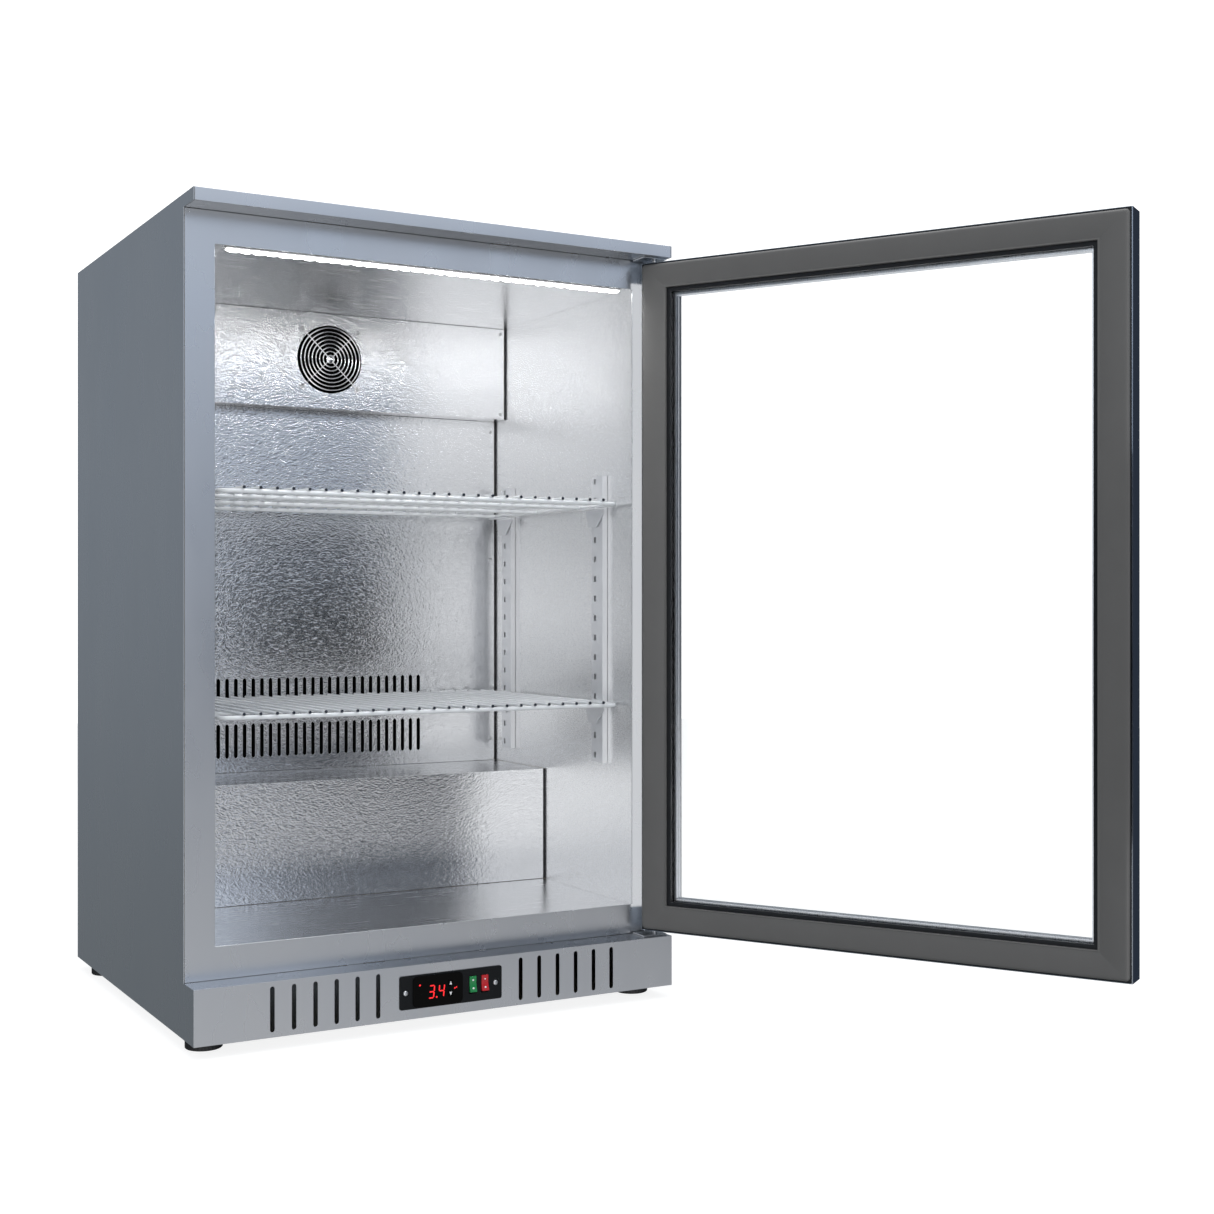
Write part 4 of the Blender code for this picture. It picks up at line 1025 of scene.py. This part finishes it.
def rocker(colour, made, marks):
    """A tipped paddle with raised marks, each (x, z, radius) on its face."""
    node = f"rocker_{colour}"
    joint = next(j for j in frame["joints"] if j["name"] == f"{colour}_rocker_tilt")
    low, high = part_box(node)
    half_x = (high.x - low.x) / 2
    place = Matrix.Translation(joint["pos_m"]) @ Matrix.Rotation(-TILT, 4, "X")
    tall, bulge, dish = 8.9 * MM, 5.1 * MM, 1.5 * MM
    front = []
    for i in range(17):
        t = -1 + i / 8
        front.append((-bulge + dish * (1 - abs(t)) ** 1.35, t * tall))
    outline = front + [(-3.2 * MM, tall), (0.4 * MM, 0.78 * tall), (3.6 * MM, 0.25 * tall),
                       (3.6 * MM, -0.25 * tall), (0.4 * MM, -0.78 * tall), (-3.2 * MM, -tall)]
    paddle = bmesh.new()
    sides = []
    for x in (-half_x, half_x):
        sides.append([paddle.verts.new(place @ Vector((x, y, z))) for y, z in outline])
    for k in range(len(outline)):
        m = (k + 1) % len(outline)
        paddle.faces.new((sides[0][k], sides[0][m], sides[1][m], sides[1][k]))
    paddle.faces.new(sides[0])
    paddle.faces.new(sides[1])
    link_piece(f"{node}_paddle", paddle, [made], node, [node], 0.45, 3)
    dots = bmesh.new()
    for x, z, r in marks:
        t = abs(z) / tall
        y = -bulge + dish * (1 - t) ** 1.35 - 0.05 * MM
        dot = [(0, 0.12 * MM), (r * 0.8, 0.1 * MM), (r, 0), (r, -0.3 * MM), (0, -0.3 * MM)]
        add_turned(dots, dot,
                   place @ Vector((x, y, z)), place.to_3x3() @ Vector((0, -1, 0)), 16)
    link_piece(f"{node}_marks", dots, [print_white], node)


rocker("green", rocker_green_plastic, [(0, 4.6 * MM, 1.1 * MM), (0, -4.6 * MM, 1.25 * MM)])
rocker("red", rocker_red_plastic, [(0, 4.4 * MM, 0.9 * MM), (0, -4.8 * MM, 1.15 * MM)])
print("rockers tipped", round(math.degrees(TILT)), "degrees")

# %% [markdown]
# ## Feet
# Each foot is a black moulded pad with grip ribs, on a threaded stem. The ribs come from
# letting every second point of the turned skirt stand out a little.

# %% Feet
RIBS = 28
LEVELS = [(0.86, -14.0, 0), (0.93, -13.9, 0), (0.985, -13.0, 0), (0.99, -11.6, 1),
          (0.99, -4.4, 1), (0.97, -3.2, 0), (0.88, -1.6, 0), (0.80, -0.8, 0), (0.45, -0.6, 0)]
for node in ("foot_front_left", "foot_front_right", "foot_rear_left", "foot_rear_right"):
    low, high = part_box(node)
    x, y = (low.x + high.x) / 2, (low.y + high.y) / 2
    outer = (high.x - low.x) / 2
    foot = bmesh.new()
    rings = []
    for share, z, ribbed in LEVELS:
        ring = []
        for k in range(4 * RIBS):
            turn = math.tau * k / (4 * RIBS)
            radius = outer * (share - (0.035 if ribbed and k % 4 < 2 else 0.0))
            ring.append(foot.verts.new((x + radius * math.cos(turn),
                                        y + radius * math.sin(turn), z * MM)))
        rings.append(ring)
    for one, two in zip(rings, rings[1:]):
        for k in range(4 * RIBS):
            m = (k + 1) % (4 * RIBS)
            foot.faces.new((one[k], one[m], two[m], two[k]))
    foot.faces.new(rings[0])
    foot.faces.new(rings[-1])
    stem = [(0, -1.0), (4.0, -1.0)] + [(4.0 - 0.5 * (k % 2), 0.2 + 0.6 * k) for k in range(38)]
    add_turned(foot, [(r * MM, z * MM) for r, z in stem] + [(0, 23.6 * MM)], (x, y, 0),
               (0, 0, 1), 20)
    link_piece(f"{node}_moulding", foot, [foot_plastic], node, [node])
print("feet:", RIBS, "ribs each")

# %% [markdown]
# ## Studio
# Satin metal is a blurred mirror, so its colour is the colour of the room. The room here is a
# soft gradient: bright and slightly blue in front, with a dark band at the height of the opening
# and a white key to one side, slate behind, paler above. A picture of a real studio could do the
# same, but a few numbers are easier to tune. The viewer sees plain white instead of the
# gradient, and a pale floor.

# %% Room helpers
scene = bpy.context.scene
scene.view_settings.view_transform = "Standard"
world = bpy.data.worlds.new("studio")
scene.world = world
world.use_nodes = True
room = world.node_tree
room.nodes.clear()


def room_node(kind, **values):
    """A node of the room's shader, with the values set on its sockets."""
    made = room.nodes.new(kind)
    for socket, value in values.items():
        made.inputs[socket.replace("_", " ")].default_value = value
    return made


def room_mix(factor, first, second):
    """A colour between two colours or outputs."""
    mix = room.nodes.new("ShaderNodeMix")
    mix.data_type = "RGBA"
    room.links.new(factor, mix.inputs["Factor"])
    for socket, value in (("A", first), ("B", second)):
        if isinstance(value, tuple):
            mix.inputs[socket].default_value = (*value, 1.0)
        else:
            room.links.new(value, mix.inputs[socket])
    return mix.outputs["Result"]


def room_step(source, low, high):
    """Rises smoothly from 0 to 1 as source goes from low to high."""
    step = room_node("ShaderNodeMapRange", From_Min=low, From_Max=high)
    step.interpolation_type = "SMOOTHSTEP"
    room.links.new(source, step.inputs["Value"])
    return step.outputs["Result"]


def room_times(first, second, kind="MULTIPLY"):
    """The product of two outputs, or what another operation makes of them."""
    both = room_node("ShaderNodeMath")
    both.operation = kind
    room.links.new(first, both.inputs[0])
    room.links.new(second, both.inputs[1])
    return both.outputs["Value"]


print("helpers: room_node, room_mix, room_step, room_times")

# %% Room colours
direction = room_node("ShaderNodeTexCoord").outputs["Generated"]
parts = room_node("ShaderNodeSeparateXYZ")
room.links.new(direction, parts.inputs["Vector"])
across, depth_out, up = (parts.outputs[axis] for axis in "XYZ")
SLATE, SLATE_LOW = (0.240, 0.268, 0.300), (0.165, 0.182, 0.195)
FRONT, FRONT_LOW, FRONT_HIGH = (0.62, 0.70, 0.83), (0.64, 0.64, 0.645), (0.88, 0.94, 1.04)
KEY, KEY_LOW, KEY_HIGH = (0.52, 0.53, 0.55), (1.6, 1.6, 1.6), (1.25, 1.26, 1.28)
DARK_ROOM = (0.035, 0.045, 0.065)
OVERHEAD = (0.80, 0.82, 0.86)
WHITE_SEEN = (1.35, 1.35, 1.35)
behind = room_mix(room_step(up, -0.25, 0.1), SLATE_LOW, SLATE)
behind = room_mix(room_step(across, 0.55, 0.85), behind, DARK_ROOM)
ahead = room_mix(room_step(up, -0.22, 0.12), FRONT_LOW, FRONT)
ahead = room_mix(room_step(up, 0.14, 0.40), ahead, FRONT_HIGH)
band = room_times(room_step(up, -0.16, -0.11), room_step(up, 0.15, 0.05))
ahead = room_mix(room_times(band, room_step(across, 0.20, 0.30)), ahead, DARK_ROOM)
key = room_mix(room_step(up, -0.15, -0.05), KEY_LOW, KEY)
key = room_mix(room_step(up, 0.05, 0.16), key, KEY_HIGH)
ahead = room_mix(room_step(across, 0.10, -0.18), ahead, key)
around = room_mix(room_step(depth_out, -0.35, -0.85), behind, ahead)
around = room_mix(room_step(up, 0.45, 0.9), around, OVERHEAD)
path_kind = room.nodes.new("ShaderNodeLightPath")
straight = room_step(path_kind.outputs["Glossy Depth"], 0.6, 0.4)
through = room_times(path_kind.outputs["Is Transmission Ray"], straight)
seen = room_times(path_kind.outputs["Is Camera Ray"], through, "MAXIMUM")
shown = room_mix(seen, around, WHITE_SEEN)
sky = room_node("ShaderNodeBackground", Strength=1.0)
room.links.new(shown, sky.inputs["Color"])
room.links.new(sky.outputs["Background"], room_node("ShaderNodeOutputWorld").inputs["Surface"])
print("room: slate behind, pale blue and a white key in front, bright above")

# %% [markdown]
# The strip lens glows, and a long soft light just under it carries some of its power, because a
# thin glowing mesh alone is slow to settle. Two soft boxes stand for the lamps of a studio. A
# dark card in front, seen only in reflections, gives the back wall its deep tone, as a
# photographer's black card would. A narrow white card stands by the hinge in the same way, and
# gives the stile there the pale tone that it would lose in the shadow of the door.

# %% Lights
def soft_light(name, place, target, size, power, colour=(1, 1, 1)):
    """A rectangular lamp at a place, aimed at a target."""
    data = bpy.data.lights.new(name, "AREA")
    data.shape = "RECTANGLE"
    data.size, data.size_y = size
    data.energy = power
    data.color = colour
    lamp = bpy.data.objects.new(name, data)
    lamp.location = place
    lamp.rotation_euler = (Vector(target) - Vector(place)).to_track_quat("-Z", "Y").to_euler()
    scene.collection.objects.link(lamp)
    return lamp


middle = Vector((0, 0, 0.45))
soft_light("overhead_softbox", (0.2, -0.3, 2.6), middle, (2.2, 2.2), 30)
fill = soft_light("front_left_softbox", (-1.9, -1.6, 1.3), middle, (1.2, 1.6), 7, (0.95, 0.98, 1.0))
fill.visible_glossy = False
strip_low, strip_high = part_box("led_diffuser")
strip = soft_light("lamp_strip_light", (0, (strip_low.y + strip_high.y) / 2, strip_low.z - 0.5 * MM),
                   (0, 0.02, 0.3), (0.47, 0.008), 0.5, (1.0, 0.995, 0.985))
strip.visible_glossy = False


def card(name, x, y, z, made):
    """A flat card facing the cabinet, seen only in reflections."""
    mesh = bpy.data.meshes.new(name)
    mesh.from_pydata([(x[0], y, z[0]), (x[1], y, z[0]), (x[1], y, z[1]), (x[0], y, z[1])], [],
                     [(0, 1, 2, 3)])
    mesh.materials.append(made)
    panel = bpy.data.objects.new(name, mesh)
    scene.collection.objects.link(panel)
    panel.visible_camera = panel.visible_diffuse = panel.visible_shadow = False
    panel.visible_transmission = False


black_card = finish("black_card", (0.006, 0.008, 0.012), 0.9, Specular_IOR_Level=0.0)
card("dark_card", (0.12, 0.57), -0.80, (0.20, 0.62), black_card)
white_card = finish("white_card", (0.0, 0.0, 0.0), 0.9, Emission_Color=(1, 1, 1, 1),
                    Emission_Strength=0.95)
card("hinge_card", (0.2575, 0.283), -0.230, (0.09, 0.845), white_card)
print("room lamps, lamp strip, a dark card and a white one")

# %% Floor
floor_finish = finish("floor_paint", (0.30, 0.30, 0.30), 0.9, Emission_Color=(1, 1, 1, 1),
                      Emission_Strength=0.84)
foot_low, foot_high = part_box("foot_front_left")
floor_mesh = bpy.data.meshes.new("floor")
FLOOR_R = 5.0
disc_edge = [(FLOOR_R * math.cos(math.tau * k / 64), FLOOR_R * math.sin(math.tau * k / 64),
              foot_low.z) for k in range(64)]
floor_mesh.from_pydata(disc_edge, [], [list(range(64))])
floor_mesh.materials.append(floor_finish)
floor = bpy.data.objects.new("floor", floor_mesh)
scene.collection.objects.link(floor)
floor.visible_glossy = floor.visible_diffuse = False
print("floor at", round(foot_low.z / MM, 1), "mm")

# %% Camera
eye = bpy.data.cameras.new("camera")
eye.lens = 50
eye.sensor_width = 36
camera = bpy.data.objects.new("camera", eye)
camera.location = (-0.788, -1.974, 0.4532)
camera.rotation_euler = (math.radians(90), 0, math.radians(-29.99))
scene.collection.objects.link(camera)
scene.camera = camera
print("camera", tuple(round(v, 3) for v in camera.location), "lens", eye.lens)

# %% [markdown]
# ## Finish
# The number of pieces made is printed.

# %% Pieces made
print(len(made_pieces), "pieces made")
